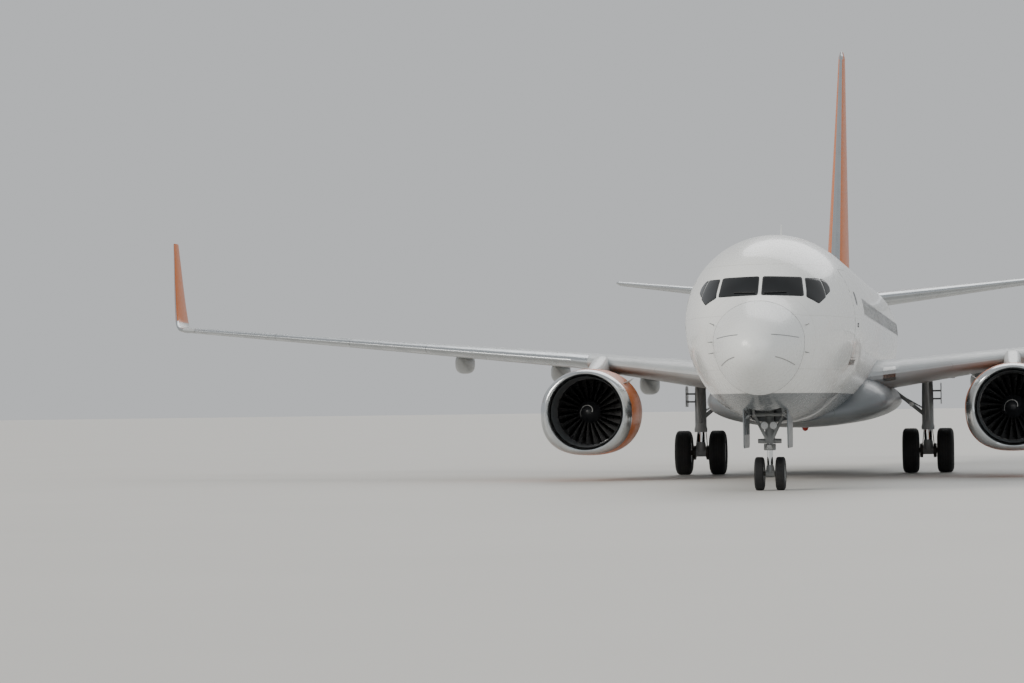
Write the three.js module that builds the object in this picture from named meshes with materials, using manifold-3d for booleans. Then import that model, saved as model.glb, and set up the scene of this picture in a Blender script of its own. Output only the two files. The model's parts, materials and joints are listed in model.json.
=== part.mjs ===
// A twin-engine, single-aisle airliner parked on its landing gear, at full size in millimetres.
// X points to the aircraft's left, Y aft and Z up. The origin is on the ground below the middle of
// its length. A station is the distance aft of the nose tip.

import * as THREE from 'three';
import { mergeVertices } from 'three/addons/utils/BufferGeometryUtils.js';
import Module from 'manifold-3d';

const wasm = await Module();
wasm.setup();

// Overall sizes
const LENGTH = 39470;
const HEIGHT = 12550;
const TRACK = 5720;
const NOSE_GEAR_STATION = 4000;
const MAIN_GEAR_STATION = 19600;
const ENGINE_X = 4970;
const ENGINE_Z = 1640;
const FIT_GAP = 0.3;
const RUNNING_GAP = 6;
const DEGREE = Math.PI / 180;

// Joins between the lengths of the body
const RADOME_END = 1400;
const TAIL_CONE_START = 36900;
const BODY_END = 38020;
const BODY_SIDES = 28;
const FAIRING_SIDES = 24;
const SKIN = 60;
const EXHAUST = { height: 4610, radius: 110, depth: 250 };

// Body columns: station, half width, bottom, top, height of the widest point
const BODY = [
  [0, 60, 2780, 2900, 2840],
  [60, 230, 2620, 3050, 2840],
  [180, 385, 2480, 3190, 2850],
  [500, 590, 2290, 3420, 2880],
  [1000, 775, 2080, 3640, 2940],
  [1400, 900, 1940, 3800, 3010],
  [1750, 1030, 1830, 3960, 3090],
  [2350, 1260, 1680, 4390, 3200],
  [3000, 1440, 1550, 4790, 3300],
  [4000, 1650, 1420, 5090, 3410],
  [5000, 1795, 1365, 5250, 3465],
  [6200, 1880, 1350, 5340, 3480],
  [7600, 1880, 1350, 5360, 3480],
  [25500, 1880, 1350, 5360, 3480],
  [27000, 1880, 1420, 5360, 3490],
  [29000, 1840, 1750, 5360, 3620],
  [31000, 1690, 2250, 5360, 3850],
  [33000, 1390, 2850, 5330, 4130],
  [35000, 1000, 3480, 5230, 4400],
  [37000, 500, 4120, 5000, 4580],
  [38020, 190, 4440, 4780, 4610],
];
const NOSE_STATIONS = [0, 40, 130, 350, 800, RADOME_END];
const CABIN_STATIONS = [
  RADOME_END, 1750, 2050, 2350, 2700, 3200, 4200, 5200, 6200, 7600,
  25500, 27500, 29500, 31500, 33500, 35500, TAIL_CONE_START,
];
const TAIL_STATIONS = [TAIL_CONE_START, 37500, BODY_END];
const BODY_STATIONS = CABIN_STATIONS.concat(TAIL_STATIONS.slice(1));

// Belly fairing columns: station, half width, bottom, top, height of the widest point
const FAIRING = [
  [11700, 700, 1345, 1700, 1500],
  [12300, 1500, 1290, 2000, 1640],
  [13200, 2080, 1225, 2450, 1780],
  [14500, 2200, 1200, 2600, 1850],
  [20500, 2200, 1200, 2550, 1850],
  [21800, 2060, 1240, 2420, 1800],
  [23000, 1500, 1310, 2050, 1680],
  [23700, 700, 1345, 1700, 1500],
];

// Wing columns: distance out, leading edge station, chord, leading edge height, thickness / chord
const WING = [
  [1300, 13770, 7010, 2335, 0.110],
  [5800, 16780, 4000, 2915, 0.099],
  [17160, 22720, 1600, 3980, 0.090],
];
const WING_INCIDENCE = 0.02;
const WING_CAMBER = 0.012;
const WINGLET_THICKNESS = 0.1;
const EDGE = 0.0025;
const SLAT_CHORD = 0.11;
const SLAT_FROM_X = 5350;
const SLAT_TO_X = 16800;

// Winglet columns: distance out, leading edge station, leading edge height, chord, cant in degrees
const WINGLET = [
  [17160, 22720, 3980, 1600, 0],
  [17290, 22830, 4008, 1570, 26],
  [17390, 22990, 4105, 1510, 52],
  [17470, 23200, 4300, 1410, 72],
  [17890, 24640, 6420, 560, 79],
];

// Flap and aileron columns: name, inboard end, outboard end, front station at each of those ends
const FLAPS = [
  ['flap_inboard', 2300, 5500, 19990, 19990],
  ['flap_outboard', 6000, 11900, 19760, 21620],
];
const HINGE_BEYOND = 200;
const PIN = { radius: 20, socket: 20.9, anchor: 80, depth: 70, sides: 20 };
const AILERON = {
  inner: 12000, outer: 16300, innerStation: 21760, outerStation: 23560, endGap: 24,
};
// Round pad below each wing that a jack stands under
const JACK_PAD = { x: 3500, station: 18300, radius: 70, bottom: 2350 };
// Canoe-shaped covers below the trailing edge: distances out, then their common sizes
const CANOES_AT = [4155, 6510, 9170];
const CANOE = { sides: 8, fromChord: 0.5, beyond: 320, tip: 22, swell: 205, tall: 1, drop: 175 };
// Fractions of a canoe's length at which its sections stand
const CANOE_SECTIONS = [0, 0.15, 0.5, 0.85, 1];
// Stations and heights well clear of the wings, where the tools that cut them begin and end
const CUT = { ahead: 14000, behind: 42000, low: 1500, high: 8000 };

// Fin columns: height, leading edge station, chord, thickness / chord
const FIN = [
  [4900, 30650, 6350, 0.105],
  [12400, 36740, 1900, 0.095],
  [HEIGHT, 36960, 1640, 0.060],
];
// Dorsal fillet columns: station, height of its ridge, half width of its foot
const DORSAL = [
  [27600, 5330, 40],
  [29500, 5620, 110],
  [31300, 5950, 190],
  [32600, 6700, 210],
];
const DORSAL_FOOT = { low: 4900, high: 5250 };
const RUDDER = { bottom: 5650, top: 12250, bottomStation: 35362, topStation: 38018, endGap: 46 };
const RUDDER_CUT_HALF = 900;
const TAIL_TIP_X = 7175;
// Tailplane columns: distance out, leading edge station, chord, leading edge height, thickness / chord
const TAILPLANE = [
  [350, 33250, 4500, 4770, 0.105],
  [7080, 37900, 1520, 5610, 0.090],
  [TAIL_TIP_X, 38080, 1390, 5625, 0.050],
];
const ELEVATOR = { inner: 1150, outer: 6900, innerStation: 36620, outerStation: 39000, endGap: 34 };

// Nacelle columns: station, half width, height above the engine axis, depth below it
const NACELLE = [
  [13000, 945, 914, 916],
  [13020, 985, 942, 946],
  [13070, 1025, 966, 974],
  [13230, 1085, 998, 1008],
  [13900, 1120, 1022, 1032],
  [14900, 1115, 1024, 1032],
  [15900, 1030, 975, 980],
  [17100, 825, 825, 825],
];
const LIP_STATIONS = [13000, 13020, 13070, 13230];
const COWL_STATIONS = [13230, 13900, 14900, 16000, 17100];
// Duct columns: station, radius
const DUCT = [
  [12900, 908],
  [13000, 904],
  [13030, 882],
  [13120, 850],
  [13700, 795],
  [15500, 800],
  [17200, 770],
];
const FAN_STATION = 13950;
const FAN_BLADES = 24;
// Fan blade columns: radius, chord, pitch in degrees away from the axis
const FAN_BLADE = [
  [240, 200, 28],
  [772, 250, 60],
];
const NACELLE_ROUND_BY = 16600;
const NACELLE_SIDES = 24;
// Core columns: station, radius
const CORE = [
  [14260, 360],
  [15000, 550],
  [17050, 470],
  [17700, 350],
  [17701, 240],
  [18250, 20],
];
const SHAFT = { radius: 89, bore: 89.95, front: 14080 };
// Spinner and fan hub columns: station, radius
const HUB = [
  [13560, 15],
  [13650, 120],
  [13880, 270],
  [14240, 300],
];
// Pylon outline: station, height
const PYLON = [
  [14250, 2620], [15400, 2850], [16350, 3000], [17200, 2900], [19300, 2680], [19500, 2500],
  [18700, 2300], [17650, 2060], [17000, 1980], [15000, 1980], [15000, 2480],
];
const PYLON_HALF = 215;

// Landing gear
const NOSE_TYRE = { radius: 343, width: 197, rim: 205, offset: 215 };
const MAIN_TYRE = { radius: 560, width: 419, rim: 285, offset: 432 };
const WHEEL_SIDES = 16;
const NOSE_LEG = {
  radius: 95, end: 960, trunnion: 1930, collarEnd: 820, sleeve: 95,
  pistonTop: 1090, piston: 61.2, bore: 62, axle: 46.8, axleBore: 47.6,
  trunnionRadius: 60, collarRadius: 125, sleeveRadius: 78,
};
const MAIN_LEG = {
  radius: 150, top: 2560, end: 1080, gland: 190, piston: 100,
  sleeve: 210, sleeveRadius: 105, axle: 64.8, axleBore: 65.7,
};
// Gear bars: distance out, distance aft of the axle and height at one end, the same three at the
// other end, then the radius. Distances out on the main gear are from its leg.
const NOSE_BRACES = [
  [60, -60, 1060, 310, -160, 1560, 38],
  [310, -160, 1540, 280, -1150, 2080, 34],
  [0, -160, 1550, 310, -160, 1550, 36],
];
const NOSE_LINKS = [
  [0, 90, 850, 0, 210, 640, 32],
  [0, 210, 640, 0, 50, 420, 32],
];
const MAIN_BRACES = [
  [-60, 0, 1440, -760, 0, 2010, 55],
  [0, -40, 1250, 0, -1000, 2300, 60],
  [0, 120, 1060, 0, 360, 830, 42],
  [0, 360, 830, 0, 60, 580, 42],
  [0, 0, 1950, 345, 0, 1950, 32],
];
// The plate on the outer side of each main leg, and each wheel's brake
const MAIN_DOOR = { near: 330, far: 352, ahead: 360, behind: 300, low: 1700, high: 2260 };
const BRAKE = { near: 130, far: 205, radius: 185 };
const TOW_LUG = { half: 70, reach: 175, low: 835, high: 935 };
const NOSE_DOOR = { x: 430, thick: 26 };
// A nose gear door seen from the side: corners as station and height
const NOSE_DOOR_OUTLINE = [
  [2900, 935], [2990, 875], [4180, 875], [4280, 935], [4300, 1760], [2880, 1760],
];
const NOSE_BAY = { from: 2550, to: 4350, half: 360, bottom: 1000, top: 2150 };
const WHEEL_WELL = { x: 640, radius: 620, bottom: 900, top: 1800 };

// Colours and finishes
const FINISHES = {
  white: { color: 0xe9ebea, roughness: 0.25, metalness: 0 },
  belly: { color: 0x8b8e90, roughness: 0.35, metalness: 0 },
  orange: { color: 0xc65a1c, roughness: 0.3, metalness: 0 },
  wingGrey: { color: 0xa3a7a8, roughness: 0.4, metalness: 0.1 },
  bare: { color: 0xc9cccd, roughness: 0.2, metalness: 1 },
  glass: { color: 0x0b0e10, roughness: 0.05, metalness: 0 },
  gear: { color: 0x9a9da0, roughness: 0.4, metalness: 0.3 },
  rubber: { color: 0x17181a, roughness: 0.85, metalness: 0 },
  titanium: { color: 0x4a4744, roughness: 0.45, metalness: 0.9 },
};

const airliner = new THREE.Group();
airliner.name = 'airliner';

// The Y position of a station
function at(station) {
  return station - LENGTH / 2;
}

// Adds one solid to the scene as a named mesh
function addPart(name, solid, finish) {
  const mesh = solid.getMesh();
  const geometry = new THREE.BufferGeometry();
  geometry.setAttribute('position', new THREE.BufferAttribute(mesh.vertProperties, 3));
  geometry.setIndex(new THREE.BufferAttribute(mesh.triVerts, 1));
  geometry.computeVertexNormals();
  const part = new THREE.Mesh(geometry, new THREE.MeshStandardMaterial(FINISHES[finish]));
  part.name = name;
  airliner.add(part);
}

// A closed mesh as a solid that can be joined and cut
function toSolid(geometry) {
  const bare = geometry.clone();
  bare.deleteAttribute('normal');
  bare.deleteAttribute('uv');
  const merged = mergeVertices(bare, 1e-2);
  return new wasm.Manifold(new wasm.Mesh({
    numProp: 3,
    vertProperties: Float32Array.from(merged.attributes.position.array),
    triVerts: Uint32Array.from(merged.index.array),
  }));
}

function join(solids) {
  return solids.reduce((whole, next) => whole.add(next));
}

function cut(solid, tools) {
  return tools.reduce((rest, tool) => rest.subtract(tool), solid);
}

// Skin through rings of the same number of points, closed at each end by a fan of triangles
function loft(rings) {
  const count = rings[0].length;
  const points = rings.flat();
  const faces = [];
  for (let ring = 0; ring < rings.length - 1; ring += 1) {
    for (let side = 0; side < count; side += 1) {
      const a = ring * count + side;
      const b = ring * count + (side + 1) % count;
      faces.push([a, b, b + count], [a, b + count, a + count]);
    }
  }
  for (const ring of [0, rings.length - 1]) {
    const centre = points.length;
    const sum = rings[ring].reduce((total, point) => total.clone().add(point), new THREE.Vector3());
    points.push(sum.divideScalar(count));
    for (let side = 0; side < count; side += 1) {
      const a = ring * count + side;
      const b = ring * count + (side + 1) % count;
      faces.push(ring === 0 ? [centre, b, a] : [centre, a, b]);
    }
  }
  const volume = faces.reduce((total, [a, b, c]) => (
    total + points[a].dot(points[b].clone().cross(points[c]))), 0);
  if (volume < 0) faces.forEach((face) => face.reverse());
  return new wasm.Manifold(new wasm.Mesh({
    numProp: 3,
    vertProperties: Float32Array.from(points.flatMap((point) => point.toArray())),
    triVerts: Uint32Array.from(faces.flat()),
  }));
}

// A column of a table at any station, on a smooth curve that never overshoots its rows
function smooth(rows, column, station) {
  const last = rows.length - 2;
  const found = rows.findIndex((row) => row[0] > station) - 1;
  const i = found < 0 ? last : Math.min(Math.max(found, 0), last);
  const slope = (k) => (rows[k + 1][column] - rows[k][column]) / (rows[k + 1][0] - rows[k][0]);
  const tangent = (k) => {
    if (k === 0) return slope(0);
    if (k === rows.length - 1) return slope(k - 1);
    const before = slope(k - 1);
    const after = slope(k);
    return before * after <= 0 ? 0 : (2 * before * after) / (before + after);
  };
  const span = rows[i + 1][0] - rows[i][0];
  const t = (station - rows[i][0]) / span;
  const t2 = t * t;
  const t3 = t2 * t;
  return rows[i][column] * (2 * t3 - 3 * t2 + 1)
    + tangent(i) * span * (t3 - 2 * t2 + t)
    + rows[i + 1][column] * (3 * t2 - 2 * t3)
    + tangent(i + 1) * span * (t3 - t2);
}

// An upright oval ring: two half ellipses that meet at the widest point
function ovalRing(rows, station, grow, sides) {
  const half = smooth(rows, 1, station) + grow;
  const bottom = smooth(rows, 2, station) - grow;
  const top = smooth(rows, 3, station) + grow;
  const waist = smooth(rows, 4, station);
  return Array.from({ length: sides }, (_, k) => {
    const angle = (2 * Math.PI * k) / sides;
    const rise = Math.sin(angle) > 0 ? top - waist : waist - bottom;
    return new THREE.Vector3(half * Math.cos(angle), at(station), waist + rise * Math.sin(angle));
  });
}

// A length of the body, larger all round by grow
function bodySolid(stations, grow) {
  return loft(stations.map((station) => ovalRing(BODY, station, grow, BODY_SIDES)));
}

// Half of a section's depth over its chord, at a fraction of the chord behind the leading edge
function halfThickness(thickness, u) {
  return 5 * thickness
    * (0.2969 * Math.sqrt(u) - 0.126 * u - 0.3516 * u * u + 0.2843 * u ** 3 - 0.1015 * u ** 4) + EDGE * u;
}

// A wing section as [fraction of chord, height / chord] from the trailing edge, over the top and back
function aerofoil(thickness, camber) {
  const STEPS = 7;
  const half = (u) => halfThickness(thickness, u);
  const mean = (u) => 4 * camber * u * (1 - u);
  const points = [];
  for (let k = 0; k <= STEPS; k += 1) {
    const u = (1 + Math.cos((Math.PI * k) / STEPS)) / 2;
    points.push([u, mean(u) + half(u)]);
  }
  for (let k = STEPS - 1; k >= 0; k -= 1) {
    const u = (1 + Math.cos((Math.PI * k) / STEPS)) / 2;
    points.push([u, mean(u) - half(u)]);
  }
  return points;
}

// Wing section ring that stands across the span, turned up by cant and thicker by grow
function wingRing(x, station, height, chord, thickness, side, cant, grow) {
  return aerofoil(thickness, WING_CAMBER).map(([u, w]) => {
    const lift = w * chord + Math.sign(w) * grow - u * chord * WING_INCIDENCE;
    const along = station + u * chord + (u - 0.5) * 2 * grow;
    return new THREE.Vector3(
      side * (x - lift * Math.sin(cant)), at(along), height + lift * Math.cos(cant));
  });
}

function wingSolid(side, grow) {
  return loft(WING.map(([x, station, chord, height, thickness]) => (
    wingRing(x, station, height, chord, thickness, side, 0, grow))));
}

// A straight round bar between two points
function bar(from, to, radiusFrom, radiusTo, sides) {
  const start = new THREE.Vector3(...from);
  const end = new THREE.Vector3(...to);
  const length = start.distanceTo(end);
  const geometry = new THREE.CylinderGeometry(radiusTo, radiusFrom, length, sides);
  const turn = new THREE.Quaternion().setFromUnitVectors(
    new THREE.Vector3(0, 1, 0), end.clone().sub(start).normalize());
  geometry.applyQuaternion(turn);
  const middle = start.add(end).multiplyScalar(0.5);
  geometry.translate(middle.x, middle.y, middle.z);
  return toSolid(geometry);
}

function block(x0, x1, y0, y1, z0, z1) {
  const geometry = new THREE.BoxGeometry(Math.abs(x1 - x0), Math.abs(y1 - y0), Math.abs(z1 - z0));
  geometry.translate((x0 + x1) / 2, (y0 + y1) / 2, (z0 + z1) / 2);
  return toSolid(geometry);
}

// A flat outline pushed along X (outline in Y and Z), along Y (X and Z) or along Z (X and Y)
function prism(axis, shape, from, to) {
  const low = Math.min(from, to);
  const high = Math.max(from, to);
  const geometry = new THREE.ExtrudeGeometry(shape, {
    depth: high - low, bevelEnabled: false, curveSegments: 1,
  });
  const [ux, uy, uz] = [[1, 0, 0], [0, 1, 0], [0, 0, 1]].map((unit) => new THREE.Vector3(...unit));
  const turn = new THREE.Matrix4();
  if (axis === 'x') turn.makeBasis(uy, uz, ux).setPosition(low, 0, 0);
  if (axis === 'y') turn.makeBasis(ux, uz, uy.clone().negate()).setPosition(0, high, 0);
  if (axis === 'z') turn.makeBasis(ux, uy, uz).setPosition(0, 0, low);
  geometry.applyMatrix4(turn);
  return toSolid(geometry);
}

function polygon(points) {
  return new THREE.Shape(points.map((point) => new THREE.Vector2(...point)));
}

function roundedBox(u0, v0, u1, v1, radius) {
  const shape = new THREE.Shape();
  shape.absarc(u1 - radius, v1 - radius, radius, 0, Math.PI / 2);
  shape.absarc(u0 + radius, v1 - radius, radius, Math.PI / 2, Math.PI);
  shape.absarc(u0 + radius, v0 + radius, radius, Math.PI, 1.5 * Math.PI);
  shape.absarc(u1 - radius, v0 + radius, radius, 1.5 * Math.PI, 2 * Math.PI);
  shape.closePath();
  return shape;
}

// A turned solid about the X axis from [radius, distance along X] points
function turnedAboutX(profile, x, y, z, sides) {
  const geometry = new THREE.LatheGeometry(
    profile.map(([radius, along]) => new THREE.Vector2(radius, along)), sides);
  geometry.rotateY(Math.PI / sides);
  geometry.rotateZ(-Math.PI / 2);
  geometry.translate(x, y, z);
  return toSolid(geometry);
}

// A turned solid about an engine's axis from [station, radius] points
function turnedAboutEngine(profile, side, sides) {
  const geometry = new THREE.LatheGeometry(
    profile.map(([station, radius]) => new THREE.Vector2(radius, at(station))), sides);
  geometry.rotateY(Math.PI / sides);
  const turned = geometry.applyMatrix4(new THREE.Matrix4().makeBasis(
    new THREE.Vector3(0, 0, 1), new THREE.Vector3(0, 1, 0), new THREE.Vector3(-1, 0, 0)));
  turned.translate(side * ENGINE_X, 0, ENGINE_Z);
  return toSolid(turned);
}

const SIDES = [['left', 1], ['right', -1]];

// Doors in the body: name, side, centre station, width, sill, height, corner radius
const DOORS = [
  ['entry_door_forward', 1, 5050, 860, 2700, 1830, 120],
  ['service_door_forward', -1, 5050, 760, 2700, 1650, 120],
  ['entry_door_aft', 1, 31100, 760, 2720, 1830, 120],
  ['service_door_aft', -1, 31100, 760, 2720, 1650, 120],
  ['cargo_door_forward', -1, 8900, 1220, 1660, 890, 90],
  ['cargo_door_aft', -1, 26000, 1220, 1660, 840, 90],
];
const EXIT = { stations: [16900, 17900], width: 510, sill: 3130, height: 960, radius: 110 };
const EXIT_DEPTH = 70;
const GLASS_DEPTH = 28;
const PANEL_GAP = 4;

// Flight deck windows seen from the side: name, then corners as station and height
const SIDE_WINDOWS = [
  ['side_window_forward', [[2175, 3885], [2388, 3765], [2800, 3912], [3030, 4268], [2625, 4262]]],
  ['side_window_aft', [[2862, 3934], [3170, 4045], [3260, 4130], [3220, 4225], [3092, 4268]]],
];
// The windscreen seen from the front: corners as distance out and height
const WINDSCREEN = [[50, 3924], [838, 3906], [772, 4290], [50, 4306]];
// How far the tools reach that cut doors and side windows (along X) and windscreens (as stations)
const SIDE_REACH = { from: 790, to: 2200 };
const NOSE_REACH = { from: 1500, to: 2700 };

// The outline moved in towards its middle by a margin
function shrink(points, margin) {
  const u = points.reduce((sum, point) => sum + point[0], 0) / points.length;
  const v = points.reduce((sum, point) => sum + point[1], 0) / points.length;
  return points.map(([a, b]) => {
    const reach = Math.hypot(a - u, b - v);
    return [u + (a - u) * (1 - margin / reach), v + (b - v) * (1 - margin / reach)];
  });
}

// A tool through one side of the body, from an outline of Y and Z
function throughSide(outline, side) {
  return prism('x', outline, side * SIDE_REACH.from, side * SIDE_REACH.to);
}

// A tool through the windscreen's skin, from an outline of X and Z
function throughNose(outline) {
  return prism('y', outline, at(NOSE_REACH.from), at(NOSE_REACH.to));
}

function addBody() {
  const outer = bodySolid(CABIN_STATIONS, 0);
  const inner = bodySolid(CABIN_STATIONS, -SKIN);
  const innerTight = bodySolid(CABIN_STATIONS, -SKIN + FIT_GAP);
  const tools = [];
  const panelIn = (hole, floor) => outer.intersect(hole).subtract(floor);

  for (const [name, side, station, width, sill, height, radius] of DOORS) {
    const outline = (gap) => roundedBox(
      at(station - width / 2) + gap, sill + gap, at(station + width / 2) - gap, sill + height - gap, radius);
    tools.push(throughSide(outline(0), side).subtract(inner));
    const panel = panelIn(throughSide(outline(PANEL_GAP), side), innerTight);
    const suffix = side > 0 ? 'left' : 'right';
    addPart(name.startsWith('cargo') ? name : `${name}_${suffix}`, panel, 'white');
  }

  const deep = bodySolid(CABIN_STATIONS, -EXIT_DEPTH - RUNNING_GAP);
  const behindLeaf = bodySolid(CABIN_STATIONS, -EXIT_DEPTH);
  for (const [suffix, side] of SIDES) {
    EXIT.stations.forEach((station, index) => {
      const y0 = at(station - EXIT.width / 2);
      const y1 = at(station + EXIT.width / 2);
      const top = EXIT.sill + EXIT.height;
      const hole = roundedBox(y0, EXIT.sill, y1, top, EXIT.radius);
      const leaf = roundedBox(
        y0 + RUNNING_GAP, EXIT.sill + RUNNING_GAP, y1 - RUNNING_GAP, top - 2 * FIT_GAP, EXIT.radius);
      tools.push(throughSide(hole, side).subtract(deep));
      const panel = outer.intersect(throughSide(leaf, side)).subtract(behindLeaf);
      addPart(`overwing_exit_${index + 1}_${suffix}`, panel, 'white');
    });
  }

  const behindGlass = bodySolid(CABIN_STATIONS, -GLASS_DEPTH);
  const glassFloor = bodySolid(CABIN_STATIONS, -GLASS_DEPTH + FIT_GAP);
  for (const [suffix, side] of SIDES) {
    for (const [name, corners] of SIDE_WINDOWS) {
      const outline = (points) => polygon(points.map(([station, z]) => [at(station), z]));
      tools.push(throughSide(outline(corners), side).subtract(behindGlass));
      const pane = panelIn(throughSide(outline(shrink(corners, PANEL_GAP)), side), glassFloor);
      addPart(`${name}_${suffix}`, pane, 'glass');
    }
    const outline = (points) => polygon(points.map(([x, z]) => [side * x, z]));
    tools.push(throughNose(outline(WINDSCREEN)).subtract(behindGlass));
    const pane = panelIn(throughNose(outline(shrink(WINDSCREEN, PANEL_GAP))), glassFloor);
    addPart(`windscreen_${suffix}`, pane, 'glass');
  }

  const bay = NOSE_BAY;
  tools.push(block(-bay.half, bay.half, at(bay.from), at(bay.to), bay.bottom, bay.top));
  tools.push(...wheelWells());
  addPart('fuselage', cut(outer, tools), 'white');
  const radome = bodySolid(NOSE_STATIONS.slice(0, -1).concat(RADOME_END - FIT_GAP), 0);
  addPart('radome', radome, 'white');
  const cone = bodySolid([TAIL_CONE_START + FIT_GAP].concat(TAIL_STATIONS.slice(1)), 0);
  const exhaust = bar(
    [0, at(BODY_END - EXHAUST.depth), EXHAUST.height], [0, at(BODY_END + EXHAUST.depth), EXHAUST.height],
    EXHAUST.radius, EXHAUST.radius, 12);
  addPart('tail_cone', cone.subtract(exhaust), 'bare');
}

// The two round pockets in the belly that the main wheels fold into
function wheelWells() {
  return SIDES.map(([, side]) => bar(
    [side * WHEEL_WELL.x, at(MAIN_GEAR_STATION), WHEEL_WELL.bottom],
    [side * WHEEL_WELL.x, at(MAIN_GEAR_STATION), WHEEL_WELL.top],
    WHEEL_WELL.radius, WHEEL_WELL.radius, 20));
}

function fairingSolid(grow) {
  return loft(FAIRING.map(([station]) => ovalRing(FAIRING, station, grow, FAIRING_SIDES)));
}

function addFairing() {
  const whole = cut(fairingSolid(0), [bodySolid(CABIN_STATIONS, FIT_GAP), ...wheelWells()]);
  addPart('belly_fairing', whole, 'belly');
}

// A canoe-shaped cover below the wing's trailing edge
function canoe(x, side) {
  const row = wingAt(x);
  const start = row.station + row.chord * CANOE.fromChord;
  const end = row.station + row.chord + CANOE.beyond;
  const rings = CANOE_SECTIONS.map((t) => {
    const swell = CANOE.tip + CANOE.swell * Math.sin(Math.PI * t) ** 0.7;
    const centre = row.height - row.chord * 0.05 - CANOE.drop * Math.sin(Math.PI * t);
    return Array.from({ length: CANOE.sides }, (_, k) => {
      const angle = (2 * Math.PI * k) / CANOE.sides;
      return new THREE.Vector3(
        side * x + swell * Math.cos(angle), at(start + (end - start) * t),
        centre + CANOE.tall * swell * Math.sin(angle));
    });
  });
  return loft(rings);
}

// The wing's section sizes at a distance out, straight between the table's rows
function wingAt(x) {
  const i = x < WING[1][0] ? 0 : 1;
  const t = (x - WING[i][0]) / (WING[i + 1][0] - WING[i][0]);
  const mix = (column) => WING[i][column] + (WING[i + 1][column] - WING[i][column]) * t;
  return { station: mix(1), chord: mix(2), height: mix(3), thickness: mix(4) };
}

// A plan outline from a slanting front line to behind the aircraft, tall enough to cut a wing
function rearPrism(side, x0, x1, front0, front1) {
  const outline = [[x0, front0], [x1, front1], [x1, CUT.behind], [x0, CUT.behind]];
  return prism('z', polygon(outline.map(([x, station]) => [side * x, at(station)])), CUT.low, CUT.high);
}

// The height of a section's middle line at a station
function middleHeight(row, station, camber, incidence) {
  const u = (station - row.station) / row.chord;
  return row.height + row.chord * (4 * camber * u * (1 - u) - incidence * u);
}

// Half of a section's depth at a station
function halfDepth(row, station) {
  const u = (station - row.station) / row.chord;
  return row.chord * halfThickness(row.thickness, u);
}

// A short hinge pin, or its socket, across the gap at each end of a hinge line
function hingePins(line, from, to, radius, depth) {
  return [[from - PIN.anchor, from + depth], [to - depth, to + PIN.anchor]].map(([a, b]) => (
    bar(line(a), line(b), radius, radius, PIN.sides)));
}

// A trailing edge surface with a round nose on its hinge line, the room cut for it and its pins.
// Each end of the hinge line is [distance out, station, height, nose radius].
function hingedSurface(whole, side, inner, outer, endGap) {
  const line = (x) => {
    const t = (x - inner[0]) / (outer[0] - inner[0]);
    return [side * x, at(inner[1] + (outer[1] - inner[1]) * t), inner[2] + (outer[2] - inner[2]) * t];
  };
  const sweep = Math.atan2(outer[1] - inner[1], outer[0] - inner[0]);
  const reach = (end) => (end[3] + RUNNING_GAP) / Math.cos(sweep);
  const nose = bar(line(inner[0] - HINGE_BEYOND), line(outer[0] + HINGE_BEYOND), inner[3], outer[3], 16);
  const span = rearPrism(side, inner[0], outer[0], inner[1] - 2 * reach(inner), outer[1] - 2 * reach(outer));
  const blade = rearPrism(side, inner[0], outer[0], inner[1], outer[1]);
  const slant = endGap * Math.tan(sweep);
  const room = rearPrism(
    side, inner[0] - endGap, outer[0] + endGap,
    inner[1] - reach(inner) - slant, outer[1] - reach(outer) + slant);
  const sockets = hingePins(line, inner[0], outer[0], PIN.socket, PIN.depth + RUNNING_GAP);
  return {
    surface: cut(whole.intersect(join([nose.intersect(span), blade])), sockets),
    room,
    pins: hingePins(line, inner[0], outer[0], PIN.radius, PIN.depth),
  };
}

// The hinge line of the ailerons as its two ends
function aileronHinge() {
  const ends = [[AILERON.inner, AILERON.innerStation], [AILERON.outer, AILERON.outerStation]];
  return ends.map(([x, station]) => {
    const row = wingAt(x);
    return [x, station, middleHeight(row, station, WING_CAMBER, WING_INCIDENCE), halfDepth(row, station)];
  });
}

// The slats' plan outline, narrower all round by gap
function slatPrism(side, gap) {
  const back = (x) => wingAt(x).station + SLAT_CHORD * wingAt(x).chord - gap;
  const x0 = SLAT_FROM_X + gap;
  const x1 = SLAT_TO_X - gap;
  const outline = [[x0, CUT.ahead], [x1, CUT.ahead], [x1, back(x1)], [x0, back(x0)]];
  return prism('z', polygon(outline.map(([x, station]) => [side * x, at(station)])), CUT.low, CUT.high);
}

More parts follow.
